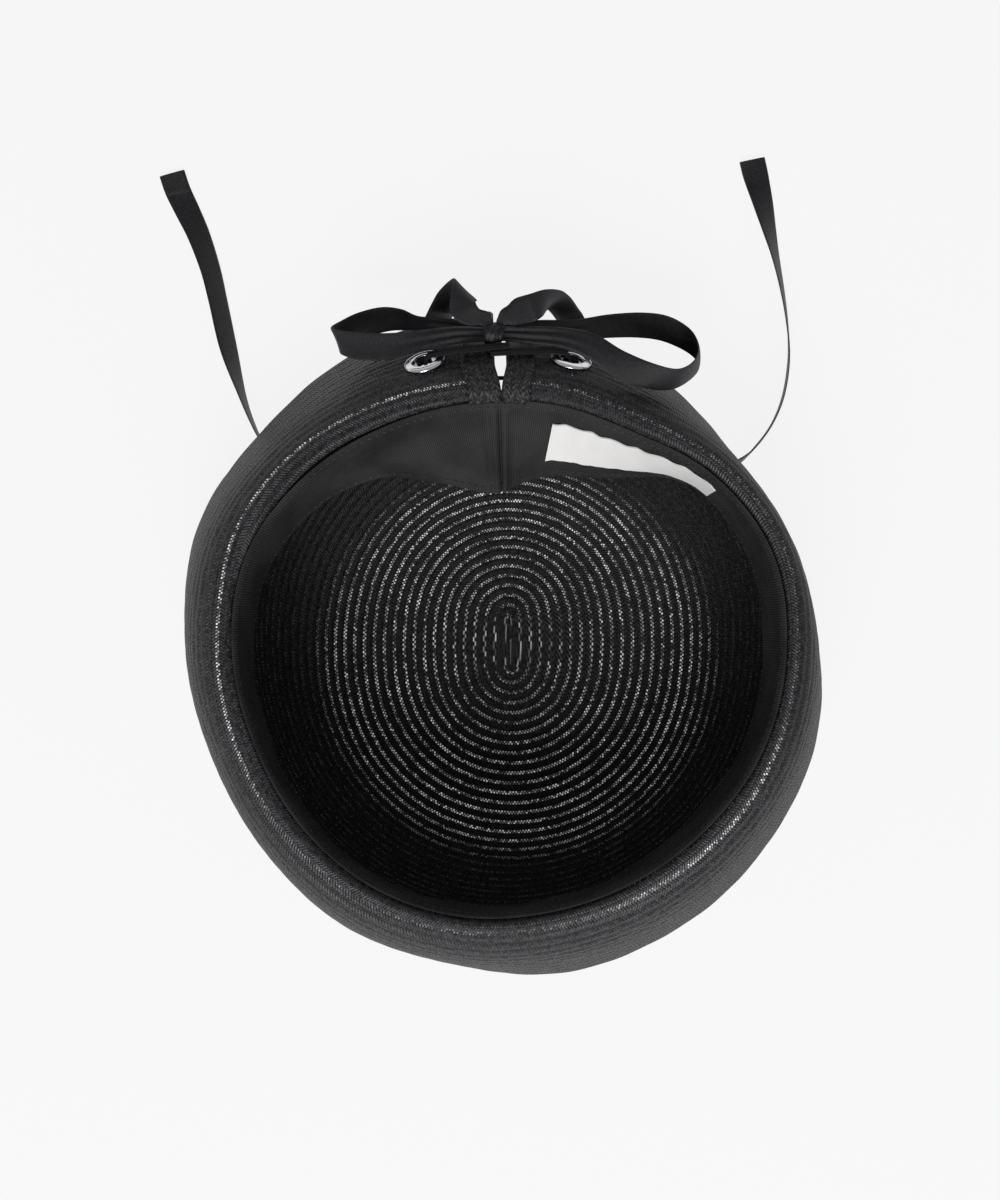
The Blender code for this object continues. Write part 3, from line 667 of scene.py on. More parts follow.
def braid_material(name, colour, glint_colour, weave_mm, zone, glint_strength, roughness, shine):
    """Black paper-yarn braid, plaited flat and sewn row on row.

    It gives the eye satin chevrons along each row and, in the valleys, a zigzag of painted light: pale
    dots and a glow that stand for light showing through the gaps. The weave is drawn at its real pitch.
    zone adds the nodes that say where the light is painted.
    """
    material, tree, shader = new_material(name, roughness, specular_ior_level=shine)
    along, row = surface_uv(tree)
    turn = math_node(tree, "MULTIPLY", along, 1.0 / weave_mm)
    inside = math_node(tree, "FRACT", row)
    aside = math_node(tree, "SUBTRACT", inside, 0.5)
    away = math_node(tree, "ABSOLUTE", aside)
    slant = math_node(tree, "MULTIPLY_ADD", away, PLAIT_SLANT, turn)
    saw = math_node(tree, "FRACT", slant)
    tooth = math_node(tree, "PINGPONG", saw, 0.5)
    middle = smooth_step(tree, away, 0.0, 0.07, 0.45, 1.0)
    thread = math_node(tree, "MULTIPLY", tooth, middle)
    # Two staggered lines of gaps, one on each side of a valley
    side = math_node(tree, "SIGN", aside)
    stagger = math_node(tree, "MULTIPLY_ADD", side, GAP_STAGGER, turn)
    cell = math_node(tree, "FLOOR", stagger)
    inner = math_node(tree, "FRACT", stagger)
    beside = math_node(tree, "PINGPONG", inner, 0.5)
    lane = math_node(tree, "SUBTRACT", away, GAP_LANE)
    lane_far = math_node(tree, "ABSOLUTE", lane)
    lane_mask = smooth_step(tree, lane_far, 0.03, 0.10, 1.0, 0.0)
    dot = smooth_step(tree, beside, 0.16, 0.34, 0.0, 1.0)
    rounded = math_node(tree, "ROUND", row)
    key = add_node(tree, "ShaderNodeCombineXYZ", {0: cell, 1: rounded, 2: side})
    chance = add_node(tree, "ShaderNodeTexWhiteNoise", {0: key}, noise_dimensions="3D")
    spread = straight_step(tree, chance, 0.05, 1.0, 0.10, 1.0)
    lit = math_node(tree, "POWER", spread, 1.5)
    object_place = own_place(tree)
    patch = noise_node(tree, object_place, 110.0, 2.0)
    patchy = straight_step(tree, patch, 0.32, 0.60, 0.35, 1.0)
    where = zone(tree, object_place, row)
    shown = product(tree, dot, lane_mask, lit, patchy, where)
    glint = math_node(tree, "MULTIPLY", shown, glint_strength, use_clamp=True)
    # Yarn, with painted shade that darkens it in the valleys, and a little paler on the raised threads
    grain = noise_node(tree, object_place, 850.0, 2.0)
    tone = straight_step(tree, thread, 0.0, 0.5, 0.30, 1.8)
    grained = straight_step(tree, grain, 0.40, 0.62, 0.10, 2.3)
    # Painted shade: darker colour toward the valleys between rows
    depth = smooth_step(tree, away, 0.26, 0.47, 1.08, 0.30)
    shade = product(tree, tone, grained, depth)
    yarn = scaled_node(tree, colour, shade)
    # Painted light: the glints mix a pale colour into the yarn and glow as emission, standing for light
    # through the gaps
    pale = (*glint_colour, 1.0)
    blend = add_node(tree, "ShaderNodeMixRGB", {"Fac": glint, "Color1": yarn, "Color2": pale})
    tree.links.new(blend, shader.inputs["Base Color"])
    shader.inputs["Emission Color"].default_value = pale
    glow = math_node(tree, "MULTIPLY", glint, GLINT_GLOW)
    tree.links.new(glow, shader.inputs["Emission Strength"])
    fibre = math_node(tree, "MULTIPLY_ADD", grain, 0.35, thread)
    set_relief(tree, shader, fibre, 0.9, 0.00045)
    return material


def crown_zone(tree, object_place, _row):
    """Painted light through the gaps on the inside of the tip and lower wall, fading on the steep wall."""
    flat = add_node(tree, "ShaderNodeVectorMath", {0: object_place, 1: (1, 1, 0)}, operation="MULTIPLY")
    reach = tree.nodes.new("ShaderNodeVectorMath")
    reach.operation = "LENGTH"
    tree.links.new(flat, reach.inputs[0])
    outer = smooth_step(tree, reach.outputs["Value"], 0.062, 0.076, 1.0, 0.04)
    inner = smooth_step(tree, reach.outputs["Value"], 0.012, 0.048, 0.55, 1.0)
    reached = math_node(tree, "MULTIPLY", outer, inner)
    # Only faces turned up, the inside of the bowl, get the painted light
    coord = tree.nodes.new("ShaderNodeTexCoord")
    facing = tree.nodes.new("ShaderNodeSeparateXYZ")
    tree.links.new(coord.outputs["Normal"], facing.inputs[0])
    inside = straight_step(tree, facing.outputs[2], 0.0, 0.15, 0.0, 1.0)
    return math_node(tree, "MULTIPLY", reached, inside)


def brim_zone(tree, object_place, row):
    """Painted light through the gaps of one row near the fold, most on the left and at the front right."""
    lane = math_node(tree, "SUBTRACT", row, float(LIT_ROW))
    far = math_node(tree, "ABSOLUTE", lane)
    near = smooth_step(tree, far, 0.25, 0.6, 1.0, 0.07)
    flat = add_node(tree, "ShaderNodeVectorMath", {0: object_place, 1: (1, 1, 0)}, operation="MULTIPLY")
    heading = add_node(tree, "ShaderNodeVectorMath", {0: flat}, operation="NORMALIZE")
    shares = []
    for azimuth, start, full, least in LIT_SECTORS:
        toward = (math.cos(math.radians(azimuth)), math.sin(math.radians(azimuth)), 0.0)
        dot = tree.nodes.new("ShaderNodeVectorMath")
        dot.operation = "DOT_PRODUCT"
        dot.inputs[1].default_value = toward
        tree.links.new(heading, dot.inputs[0])
        shares.append(smooth_step(tree, dot.outputs["Value"], start, full, least, 1.0))
    either = math_node(tree, "MAXIMUM", shares[0], shares[1])
    return math_node(tree, "MULTIPLY", near, either)


def facing_zone(_tree, _object_place, _row):
    """Only a faint painted light through the gaps of the facings, which lie on the brim."""
    return FACING_LIGHT


def twill_material(colour):
    """Polyester tape, woven fine and matt with ribs across its length.

    It gives the eye thin upright ribs and cloudy wear. The ribs are drawn at their real 0.8 mm.
    """
    material, tree, shader = new_material("sweatband_twill", 0.78, specular_ior_level=0.22)
    along, across = surface_uv(tree)
    rib = wave_node(tree, along, TWILL_RIB_MM)
    weft = wave_node(tree, across, TWILL_WEFT_MM)
    cloth = math_node(tree, "MULTIPLY_ADD", weft, 0.4, rib)
    place = own_place(tree)
    fuzz = noise_node(tree, place, 1500.0, 2.0)
    wash = noise_node(tree, place, 55.0, 2.0)
    tone = straight_step(tree, cloth, -1.4, 1.4, 0.40, 1.60)
    worn = straight_step(tree, wash, 0.35, 0.65, 0.65, 1.35)
    shade = math_node(tree, "MULTIPLY", tone, worn)
    tree.links.new(scaled_node(tree, colour, shade), shader.inputs["Base Color"])
    height = math_node(tree, "MULTIPLY_ADD", fuzz, 1.5, cloth)
    set_relief(tree, shader, height, 0.5, 0.00012)
    return material


def label_material(colour):
    """Polyester satin label, woven fine. It gives the eye a soft even white with a faint crosswise weave."""
    material, tree, shader = new_material("label_satin", 0.55, specular_ior_level=0.35)
    along, across = surface_uv(tree)
    weave = product(tree, wave_node(tree, along, LABEL_WEAVE_MM), wave_node(tree, across, LABEL_WEAVE_MM))
    cloud = noise_node(tree, own_place(tree), 90.0, 3.0)
    mixed = math_node(tree, "MULTIPLY_ADD", weave, 0.10, cloud)
    tone = straight_step(tree, mixed, 0.2, 0.8, 0.92, 1.04)
    tree.links.new(scaled_node(tree, colour, tone), shader.inputs["Base Color"])
    set_relief(tree, shader, weave, 0.3, 0.00006)
    return material


def ribbon_material(colour):
    """Polyester grosgrain, woven with fine crosswise ribs.

    It gives the eye a soft violet-grey sheen broken by the ribs. They are drawn 0.5 mm apart.
    """
    material, tree, shader = new_material("ribbon_grosgrain", 0.50, specular_ior_level=0.34,
                                          sheen_weight=0.07, sheen_roughness=0.4)
    shader.inputs["Sheen Tint"].default_value = (*linear("#8c86a0"), 1.0)
    along, across = surface_uv(tree)
    rib = wave_node(tree, along, RIBBON_RIB_MM)
    warp = wave_node(tree, across, RIBBON_WARP_MM)
    weave = math_node(tree, "MULTIPLY_ADD", warp, 0.30, rib)
    fuzz = noise_node(tree, own_place(tree), 900.0, 2.0)
    edge = math_node(tree, "ABSOLUTE", across)
    edge_tone = smooth_step(tree, edge, 3.9, 4.5, 1.0, 1.5)
    rib_tone = straight_step(tree, weave, -1.3, 1.3, 0.5, 1.5)
    fuzzed = straight_step(tree, fuzz, 0.35, 0.65, 0.45, 1.55)
    shade = product(tree, rib_tone, edge_tone, fuzzed)
    tree.links.new(scaled_node(tree, colour, shade), shader.inputs["Base Color"])
    set_relief(tree, shader, weave, 0.45, 0.00010)
    return material


def metal_material(colour):
    """Nickel-plated brass, pressed and polished.

    It gives the eye a bright mirror with slight pressing marks and fine scratches.
    """
    material, tree, shader = new_material("eyelet_nickel", 0.14, metallic=1.0)
    shader.inputs["Base Color"].default_value = (*colour, 1.0)
    wave = noise_node(tree, own_place(tree), 420.0, 3.0)
    rough = straight_step(tree, wave, 0.3, 0.7, 0.08, 0.24)
    tree.links.new(rough, shader.inputs["Roughness"])
    set_relief(tree, shader, wave, 0.22, 0.0001)
    return material


def thread_material(colour):
    """Polyester sewing thread, twisted. It gives the eye short satin dashes with a spiral twist."""
    material, tree, shader = new_material("sewing_thread", 0.5, specular_ior_level=0.4)
    twist = noise_node(tree, own_place(tree), 2500.0, 1.0)
    tone = straight_step(tree, twist, 0.3, 0.7, 0.6, 1.4)
    tree.links.new(scaled_node(tree, colour, tone), shader.inputs["Base Color"])
    return material


def spiral_grid(row_mm):
    """Grid of the crown's spiral: distance from the middle line, azimuth and row number.

    A grid row lies 1 / ROW_STEPS of a braid row further out than the last, and each column adds its
    share of a turn, so that the grid's end meets its own start one braid row further out.
    """
    turns = np.arange(CROWN_COLUMNS + 1) / CROWN_COLUMNS
    last = int(SPIRAL_LONGEST * 1000 / row_mm * ROW_STEPS)
    steps = np.arange(-ROW_STEPS, last + 1) / ROW_STEPS
    distance = row_mm / 1000 * np.maximum(steps[:, None] + turns[None, :], 0.0)
    azimuth = np.broadcast_to(360.0 * np.mod(turns, 1.0)[None, :], distance.shape)
    return distance, azimuth, np.broadcast_to(steps[:, None], distance.shape)


def bowl_lines(azimuths):
    """Fine middle lines of the crown's wall at azimuths, from the pole to just under the fold.

    Each is flat out to the tip's radius. Above it the line is a squared ellipse, where out is
    sin(turn) ** (2 / squareness) and up is 1 - cos(turn) ** (2 / squareness), bulged by a sine of up.
    """
    squareness, bulge = np.moveaxis(curve_through(BOWL_SECTIONS, azimuths), -1, 0)
    turn = np.linspace(0.0, math.pi / 2, 160)[None, :]
    power = (2 / squareness)[:, None]
    out = np.sin(turn) ** power
    up = 1 - np.cos(turn) ** power
    wall = (rim_radius(azimuths) + BRAID_WALL / 2)[:, None]
    base = BRAID_WALL / 2
    top = (rim_top(azimuths) - BRAID_WALL / 2 - FOLD_RADIUS - GAP)[:, None]
    widest = wall * (1 + bulge[:, None] * np.sin(math.pi * up))
    radius = np.hstack([np.zeros((len(azimuths), 1)), TIP_FLAT_RADIUS + (widest - TIP_FLAT_RADIUS) * out])
    height = np.hstack([np.full((len(azimuths), 1), base), base + (top - base) * up])
    step = np.hypot(np.diff(radius, axis=1), np.diff(height, axis=1))
    length = np.hstack([np.zeros((len(azimuths), 1)), np.cumsum(step, axis=1)])
    return radius, height, length


def on_lines(lengths, values, line, wanted):
    """Values at wanted lengths along the lines, between the two lines next to each wanted one."""
    first = np.minimum(line.astype(int), len(lengths) - 2)
    found = []
    for index in (first, first + 1):
        low = np.clip((lengths[index] < wanted[:, None]).sum(axis=-1) - 1, 0, lengths.shape[1] - 2)
        start, end = lengths[index, low], lengths[index, low + 1]
        share = np.clip((wanted - start) / np.maximum(end - start, 1e-9), 0.0, 1.0)[:, None]
        found.append(values[index, low] * (1 - share) + values[index, low + 1] * share)
    beside = (line - first)[:, None]
    return found[0] * (1 - beside) + found[1] * beside


def crown_piece(settings, material):
    """Crown: a spiral of braid rows on the bowl, each an arch between two valleys."""
    row_mm = settings.row_mm
    distance, azimuth, row = spiral_grid(row_mm)
    # The first turns run round a short straight middle, a little aside, which fades from row to row
    angle = np.radians(azimuth)
    ease = np.clip(1 - distance / SPIRAL_EASE, 0.0, 1.0)
    ease = ease * ease * (3 - 2 * ease)
    over = distance * np.cos(angle) + ease * SPIRAL_ASIDE[0]
    ends = np.sin(angle) / np.sqrt(np.sin(angle) ** 2 + SPIRAL_END_ROUNDING)
    up = distance * np.sin(angle) + ease * (SPIRAL_ASIDE[1] + SPIRAL_MIDDLE / 2 * ends)
    reach, heading = np.hypot(over, up), np.mod(np.degrees(np.arctan2(up, over)), 360.0)
    # Unrolled like this, each point is its length along the wall's line at its own heading
    radius, height, length = bowl_lines(np.linspace(0.0, 360.0, CROWN_COLUMNS + 1))
    longest = np.interp(heading, np.linspace(0.0, 360.0, CROWN_COLUMNS + 1), length[:, -1])
    cut = reach > longest
    found = on_lines(length, np.stack([radius, height], axis=-1), (heading / 360 * CROWN_COLUMNS).ravel(),
                     np.minimum(reach, longest).ravel())
    r, z = found[:, 0].reshape(heading.shape), found[:, 1].reshape(heading.shape)
    lift = np.clip(z / (rim_top(heading) - BRAID_WALL / 2), 0.0, 1.0)
    middle = in_plan(heading, r, z, lift)
    normals = grid_normals(middle)
    flat = distance < 0.6 * TIP_FLAT_RADIUS
    normals[flat] = (0.0, 0.0, 1.0)
    inward = np.sign((normals * (np.array(HOLLOW_MIDDLE) - middle)).sum(-1, keepdims=True))
    normals = normals * np.where(inward == 0, 1.0, inward)
    ridge = BRAID_WALL / 2 + row_lift(row, settings.row_depth_mm / 1000)
    wobble = 0.00006 * np.sin(np.radians(azimuth) * 23 + row * 5) + 0.00005 * np.sin(row * 11.3)
    front = middle + normals * (ridge + wobble)[..., None]
    back = middle - normals * ridge[..., None]
    back[..., 2] = np.maximum(back[..., 2], FLOOR_CLEARANCE)
    # Each valley has a whole number of stitches, so that its pattern meets itself after a turn
    cell = np.floor(row[:-1, :-1] + 0.5 + 0.5 / ROW_STEPS)
    around = 2 * math.pi * np.clip((cell + 0.5) * row_mm, 0.5, CROWN_RADIUS_MM)
    stitches = np.maximum(np.round(around / settings.weave_mm), 1)
    share = np.arange(CROWN_COLUMNS + 1) / CROWN_COLUMNS
    along = whole_plaits(stitches, share, settings.weave_mm)
    dropped = cut[:-1, :-1] & cut[:-1, 1:] & cut[1:, :-1] & cut[1:, 1:]
    piece = sheet_piece("crown_braid", front, back, along, face_corners(row) + ROW_STEPS, material, dropped)
    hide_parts("crown")


def eyelet_frame(side):
    """Middle of an eyelet and its three directions: aside, down the brim and outward."""
    azimuth = beside_slit(side, EYELET_DISTANCES[side], EYELET_FROM_FOLD)
    middle = brim_point(azimuth, EYELET_FROM_FOLD, 0.0)
    out = unit(brim_point(azimuth, EYELET_FROM_FOLD, 0.01) - middle)
    down = brim_point(azimuth, EYELET_FROM_FOLD + 0.001, 0.0) - middle
    down = unit(down - out * down.dot(out))
    return middle, np.cross(down, out), down, out


def brim_piece(settings, material):
    """Brim: rows of braid parallel to the rim, from the inside of the fold to the free edge."""
    row_mm = settings.row_mm
    start = -FOLD_RADIUS * math.pi / 2
    rows = np.arange(0.0, BRIM_WIDTH * 1000 / row_mm + LIT_ROW + 1, 1 / ROW_STEPS)

    def row_place(azimuths):
        lit = curve_through(LIT_ROW_SECTIONS, azimuths)[..., 0]
        return lit, np.clip((lit + (rows[:, None] - LIT_ROW) * row_mm) / 1000, start, BRIM_WIDTH)

    place = row_place(np.array([SLIT_AZIMUTH_DEG]))[1][:, 0]
    half = slit_half_gap(place)
    first = beside_slit("left", half, np.maximum(place, 0.0))
    last = beside_slit("right", half, np.maximum(place, 0.0)) + 360.0
    share = np.arange(BRIM_COLUMNS + 1) / BRIM_COLUMNS
    azimuth = first[:, None] + (last - first)[:, None] * share[None, :]
    lit, places = row_place(SLIT_AZIMUTH_DEG + 360.0 * share)
    row = LIT_ROW + (places * 1000 - lit) / row_mm
    # The last row thins to a rounded free edge
    ridge = BRAID_WALL / 2 + row_lift(row, settings.row_depth_mm / 1000)
    ridge = ridge * np.clip((BRIM_WIDTH - places) / BRIM_EDGE, 0.35, 1.0)
    angle = np.radians(azimuth)
    free = np.clip(places / BRIM_WIDTH, 0.0, 1.0) ** 2
    wave = free * (0.00035 * np.sin(5 * angle + 0.6) + 0.00025 * np.sin(9 * angle + 2.1))
    wave = wave + 0.00007 * np.sin(41 * angle + 3 * row) * np.clip(places / 0.01, 0.0, 1.0)
    front = brim_point(azimuth, places, wave + ridge)
    back = brim_point(azimuth, places, wave - ridge)
    circle = 2 * math.pi * BRIM_RADIUS_MM
    cell = np.round(rows[:-1, None] + 0.5 / ROW_STEPS)
    stitches = np.round((circle + 0.35 * cell) / settings.weave_mm)
    along = whole_plaits(stitches, share, settings.weave_mm)
    centres = (front + back)[:-1, :-1] / 4 + (front + back)[1:, 1:] / 4
    dropped = np.zeros(centres.shape[:2], bool)
    for side in ("left", "right"):
        middle, _, _, out = eyelet_frame(side)
        offset = centres - middle
        level = offset - (offset @ out)[..., None] * out
        dropped |= np.linalg.norm(level, axis=-1) < EYELET_BORE / 2 + EYELET_MARGIN
    piece = sheet_piece("brim_braid", front, back, along, face_corners(row), material, dropped)
    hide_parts("brim")


def facing_piece(side, material):
    """Facing: narrow braids sewn side by side along one edge of the slit."""
    width = FACING_WIDTHS[side]
    columns = FACING_COLUMNS[side]
    strips = np.arange(columns * ROW_STEPS + 1) / ROW_STEPS
    place = np.linspace(-0.8 * FOLD_RADIUS * math.pi / 2, BRIM_WIDTH, 120)
    near = np.maximum(slit_half_gap(place), GAP / 2)
    distance = near[:, None] + width * strips[None, :] / columns
    places = np.broadcast_to(place[:, None], distance.shape)
    azimuth = beside_slit(side, distance, places)
    row = np.broadcast_to(strips[None, :], distance.shape)
    lift = FACING_WALL + row_lift(row, 0.00035) + 0.00004 * np.sin(places * 4200 + row * 3)
    rim = np.clip(np.minimum(distance - near[:, None], near[:, None] + width - distance) / 0.0004, 0.5, 1.0)
    front = brim_point(azimuth, places, BRAID_WALL / 2 + 0.0001 + lift * rim)
    back = brim_point(azimuth, places, BRAID_WALL / 2 - 0.0001)
    along = face_corners(places * 1000)
    piece = sheet_piece("facing_braid_" + side, front, back, along, face_corners(row), material)
    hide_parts("facing_" + side)


def band_folds(azimuth, place):
    """Depth of the sweatband's folds: soft ridges beside the back seam and a slow waviness elsewhere."""
    share = place / BAND_WIDTH
    beside = azimuth - BAND_SEAM_DEG
    seam = -0.0013 * np.exp(-(beside / 0.36) ** 2)
    ridge = sum(height * np.exp(-((beside - place_deg) / width_deg) ** 2)
                for height, place_deg, width_deg in BAND_RIDGES)
    angle = np.radians(azimuth)
    slow = 0.00025 * np.sin(7 * angle + 1.0) + 0.0002 * np.sin(17 * angle)
    pucker = 0.00008 * np.sin(83 * angle) * np.exp(-((share - 0.93) / 0.1) ** 2)
    tuck = -0.0010 * np.clip(1 - place / 0.003, 0.0, 1.0) ** 2
    return (seam + ridge) * np.clip(share * 6, 0.2, 1.0) + slow * share + pucker + tuck


def sweatband_piece(material):
    """Sweatband: one band sewn at the rim and hemmed at its free edge, with its folds at the back seam."""
    base = np.linspace(0.0, 360.0, BAND_COLUMNS + 1)[:-1]
    azimuths = np.unique(np.concatenate([base, np.linspace(*BAND_FINE_DEG, 150)]))
    azimuths = np.append(azimuths, 360.0)
    place = BAND_WIDTH * np.sort(np.concatenate([np.linspace(0.0, 1.0, 30), [0.045, 0.055, 0.925, 0.935]]))
    places, azimuth = np.meshgrid(place, azimuths, indexing="ij")
    share = places / BAND_WIDTH
    stitched = sum(np.exp(-((share - line) / 0.012) ** 2) for line in STITCH_LINES.values())
    folds = band_folds(azimuth, places)
    edge = np.clip(np.minimum(places, BAND_WIDTH - places) / 0.0006, 0.4, 1.0)
    front = band_point(azimuth, places, folds + BAND_WALL / 2 * edge - STITCH_SINK * stitched)
    back = band_point(azimuth, places, folds - BAND_WALL / 2 * edge)
    front[:, -1], back[:, -1] = front[:, 0], back[:, 0]
    along = face_corners(np.radians(azimuth) * RIM_RADIUS_MM)
    piece = sheet_piece("sweatband_twill", front, back, along, face_corners(places * 1000), material)
    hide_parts("sweatband")


def stitch_line(name, points, normals, material):
    """Sewn line: short rounded dashes of thread, one to each stitch length along a route."""
    length = path_lengths(points)
    count = int(length[-1] / STITCH_LENGTH)
    start = np.arange(count) * STITCH_LENGTH
    rings = np.linspace(0.0, 1.0, STITCH_RINGS)
    where = start[:, None] + STITCH_LENGTH * STITCH_SHARE * rings[None, :]
    centre = np.stack([np.interp(where, length, points[:, k]) for k in range(3)], axis=-1)
    up = np.stack([np.interp(where, length, normals[:, k]) for k in range(3)], axis=-1)
    up /= np.linalg.norm(up, axis=-1, keepdims=True)
    ahead = np.gradient(centre, axis=1)
    ahead /= np.linalg.norm(ahead, axis=-1, keepdims=True)
    beside = np.cross(ahead, up)
    bulge = np.sqrt(np.maximum(1 - (2 * rings - 1) ** 2 * 0.97, 0.0))
    centre = centre + up * (STITCH_THREAD * 0.6 * bulge - STITCH_THREAD * 0.35)[None, :, None]
    angle = 2 * math.pi * np.arange(STITCH_RINGS) / STITCH_RINGS
    spoke = beside[:, :, None] * np.cos(angle)[:, None] + up[:, :, None] * np.sin(angle)[:, None]
    points = centre[:, :, None] + spoke * (STITCH_THREAD / 2 * bulge)[None, :, None, None]
    ids = np.arange(count * STITCH_RINGS ** 2).reshape(count, STITCH_RINGS, STITCH_RINGS)
    across = np.roll(ids, -1, axis=2)
    sides = np.stack([ids[:, :-1], ids[:, 1:], across[:, 1:], across[:, :-1]], axis=-1).reshape(-1, 4)
    caps = np.vstack([ids[:, 0, ::-1], ids[:, -1]])
    mesh = bpy.data.meshes.new(name)
    mesh.from_pydata(points.reshape(-1, 3).tolist(), [], sides.tolist() + caps.tolist())
    piece = finish_mesh(name, mesh, material)


def band_stitching(material):
    """The sweatband's two sewn lines, below the rim and above its free edge."""
    azimuth = np.linspace(0.0, 360.0, BAND_COLUMNS + 1)
    for name, share in STITCH_LINES.items():
        place = np.full_like(azimuth, share * BAND_WIDTH)
        off = band_folds(azimuth, place) + BAND_WALL / 2 - STITCH_SINK
        points = band_point(azimuth, place, off)
        lift = band_point(azimuth, place, off + 0.001) - points
        stitch_line("band_stitches_" + name, points, lift / 0.001, material)


def label_piece(material):
    """Label: a thin blank strip sewn on the sweatband, its edges slightly wavy between stitches."""
    azimuths = np.linspace(LABEL_START_DEG, LABEL_END_DEG, 120)
    shares = np.linspace(0.0, 1.0, 34)
    share, azimuth = np.meshgrid(shares, azimuths, indexing="ij")
    angle = np.radians(azimuth)
    ripple = 0.00022 * np.sin(angle * 61) + 0.00016 * np.sin(angle * 97 + 1.2)
    place = LABEL_FROM_EDGE + LABEL_HEIGHT * share + ripple * (1 - share) + 0.6 * ripple[:, ::-1] * share
    off = band_folds(azimuth, place) + BAND_WALL / 2 + 0.00035
    off = off + 0.00035 * np.sin(math.pi * share) + 0.00018 * np.sin(angle * 61) * (1 - share)
    front = band_point(azimuth, place, off + LABEL_WALL)
    back = band_point(azimuth, place, off)
    piece = sheet_piece("label_satin", front, back, face_corners(angle * RIM_RADIUS_MM),
                        face_corners(place * 1000), material)
    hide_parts("label")


def eyelet_piece(side, material):
    """Eyelet: a profile turned about the bore's axis, with a domed flange and a rolled back."""
    bore = EYELET_BORE / 2
    flange = EYELET_FLANGE / 2
    face = BRAID_WALL / 2 + GAP
    roll = bore + EYELET_WALL + 1.6 * EYELET_ROLL
    back = -face - roll ** 2 / HEAD_OPENING * 2
    crest = face + EYELET_ROLL
    turn = np.linspace(0.0, math.pi, 13)
    lip = np.stack([bore + EYELET_LIP - EYELET_LIP * np.cos(turn / 2),
                    crest - EYELET_LIP + EYELET_LIP * np.sin(turn / 2)], 1)
    dome = np.linspace(0.0, 1.0, 9)[1:]
    top = np.stack([lip[-1, 0] + (flange - lip[-1, 0]) * np.sin(dome * math.pi / 2),
                    face + (crest - face) * np.cos(dome * math.pi / 2) ** 0.7], 1)
    under = [(flange - 0.0002, face - 0.0002), (bore + EYELET_WALL, face - 0.0001)]
    middle = bore + (roll - bore) / 2
    half = (roll - bore) / 2
    curl = np.stack([middle + half * np.cos(turn), back - 0.9 * EYELET_ROLL * np.sin(turn)], 1)
    profile = np.vstack([lip, top, under, [(bore + EYELET_WALL, back)], curl])
    angle = 2 * math.pi * np.arange(73) / 72
    centre, aside, down, out = eyelet_frame(side)
    ring = aside * np.cos(angle)[:, None] + down * np.sin(angle)[:, None]
    profile = np.vstack([profile, profile[:1]])
    points = centre + profile[:, None, :1] * ring[None] + profile[:, None, 1:] * out
    rows, columns = points.shape[0] - 1, len(angle) - 1
    ids = np.arange(rows * columns).reshape(rows, columns)
    ahead, beside = np.roll(ids, -1, axis=0), np.roll(ids, -1, axis=1)
    faces = np.stack([ids, ahead, np.roll(ahead, -1, axis=1), beside], axis=-1).reshape(-1, 4)
    mesh = bpy.data.meshes.new("eyelet_nickel_" + side)
    mesh.from_pydata(points[:-1, :-1].reshape(-1, 3).tolist(), [], faces.tolist())
    piece = finish_mesh("eyelet_nickel_" + side, mesh, material, 40.0)
    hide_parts("eyelet_" + side)


def width_vectors(table):
    """Vectors across the ribbon, from the azimuths, elevations and shares of its width in a table."""
    azimuth, elevation = np.radians(table[:, 3]), np.radians(table[:, 4])
    direction = np.stack([np.cos(elevation) * np.cos(azimuth), np.cos(elevation) * np.sin(azimuth),
                          np.sin(elevation)], axis=-1)
    return direction * (RIBBON_WIDTH * table[:, 5])[:, None]


def ribbon_grids(places, across, steps, gather=0.0, cup=0.0004, wall=RIBBON_WALL):
    """Front and back grids of a ribbon along places, with the given vectors across it.

    A station is place + across * t for t from -0.5 to 0.5, lifted by a shallow cup of t and, where the
    ribbon is drawn narrow, by a wave of gathers that takes up its width.
    """
    path = smooth_path(np.hstack([places, across]), steps)
    middle, wide = path[:, :3], path[:, 3:]
    ahead = np.gradient(middle, axis=0)
    facing = np.cross(ahead, wide)
    facing /= np.linalg.norm(facing, axis=1, keepdims=True)
    share = np.linspace(-0.5, 0.5, 17)
    width = np.linalg.norm(wide, axis=1)
    narrow = np.clip(1 - width / RIBBON_WIDTH, 0.0, 1.0)[:, None]
    lift = cup * (1 - 4 * share ** 2)[None, :] * (1 - narrow)
    lift = lift + gather * narrow * np.cos(share * 2 * math.pi * 2.5)[None, :]
    centre = middle[:, None] + wide[:, None] * share[None, :, None] + facing[:, None] * lift[..., None]
    edge = np.sqrt(np.clip(1 - (np.abs(share) * 2) ** 12, 0.12, 1.0))
    thick = np.broadcast_to(np.asarray(wall) / 2, (steps,))[:, None] * edge[None, :]
    front = centre + facing[:, None] * thick[..., None]
    back = centre - facing[:, None] * thick[..., None]
    length = path_lengths(middle) * 1000
    along = np.broadcast_to(length[:, None], front.shape[:2])
    over = np.broadcast_to(share[None, :] * RIBBON_WIDTH * 1000, front.shape[:2])
    return front, back, face_corners(along), face_corners(over), middle


def knot_frame():
    """Middle of the knot and its three directions: aside, down the brim and outward."""
    azimuth = beside_slit("left", KNOT_ASIDE, KNOT_FROM_FOLD)
    off = BRAID_WALL / 2 + GAP + FACING_WALL + GAP + KNOT_SIZE * 0.42
    centre = brim_point(azimuth, KNOT_FROM_FOLD, off)
    out = unit(brim_point(azimuth, KNOT_FROM_FOLD, off + 0.01) - centre)
    aside = np.array([-math.sin(math.radians(azimuth)), math.cos(math.radians(azimuth)), 0.0])
    return centre, aside, np.cross(out, aside), out


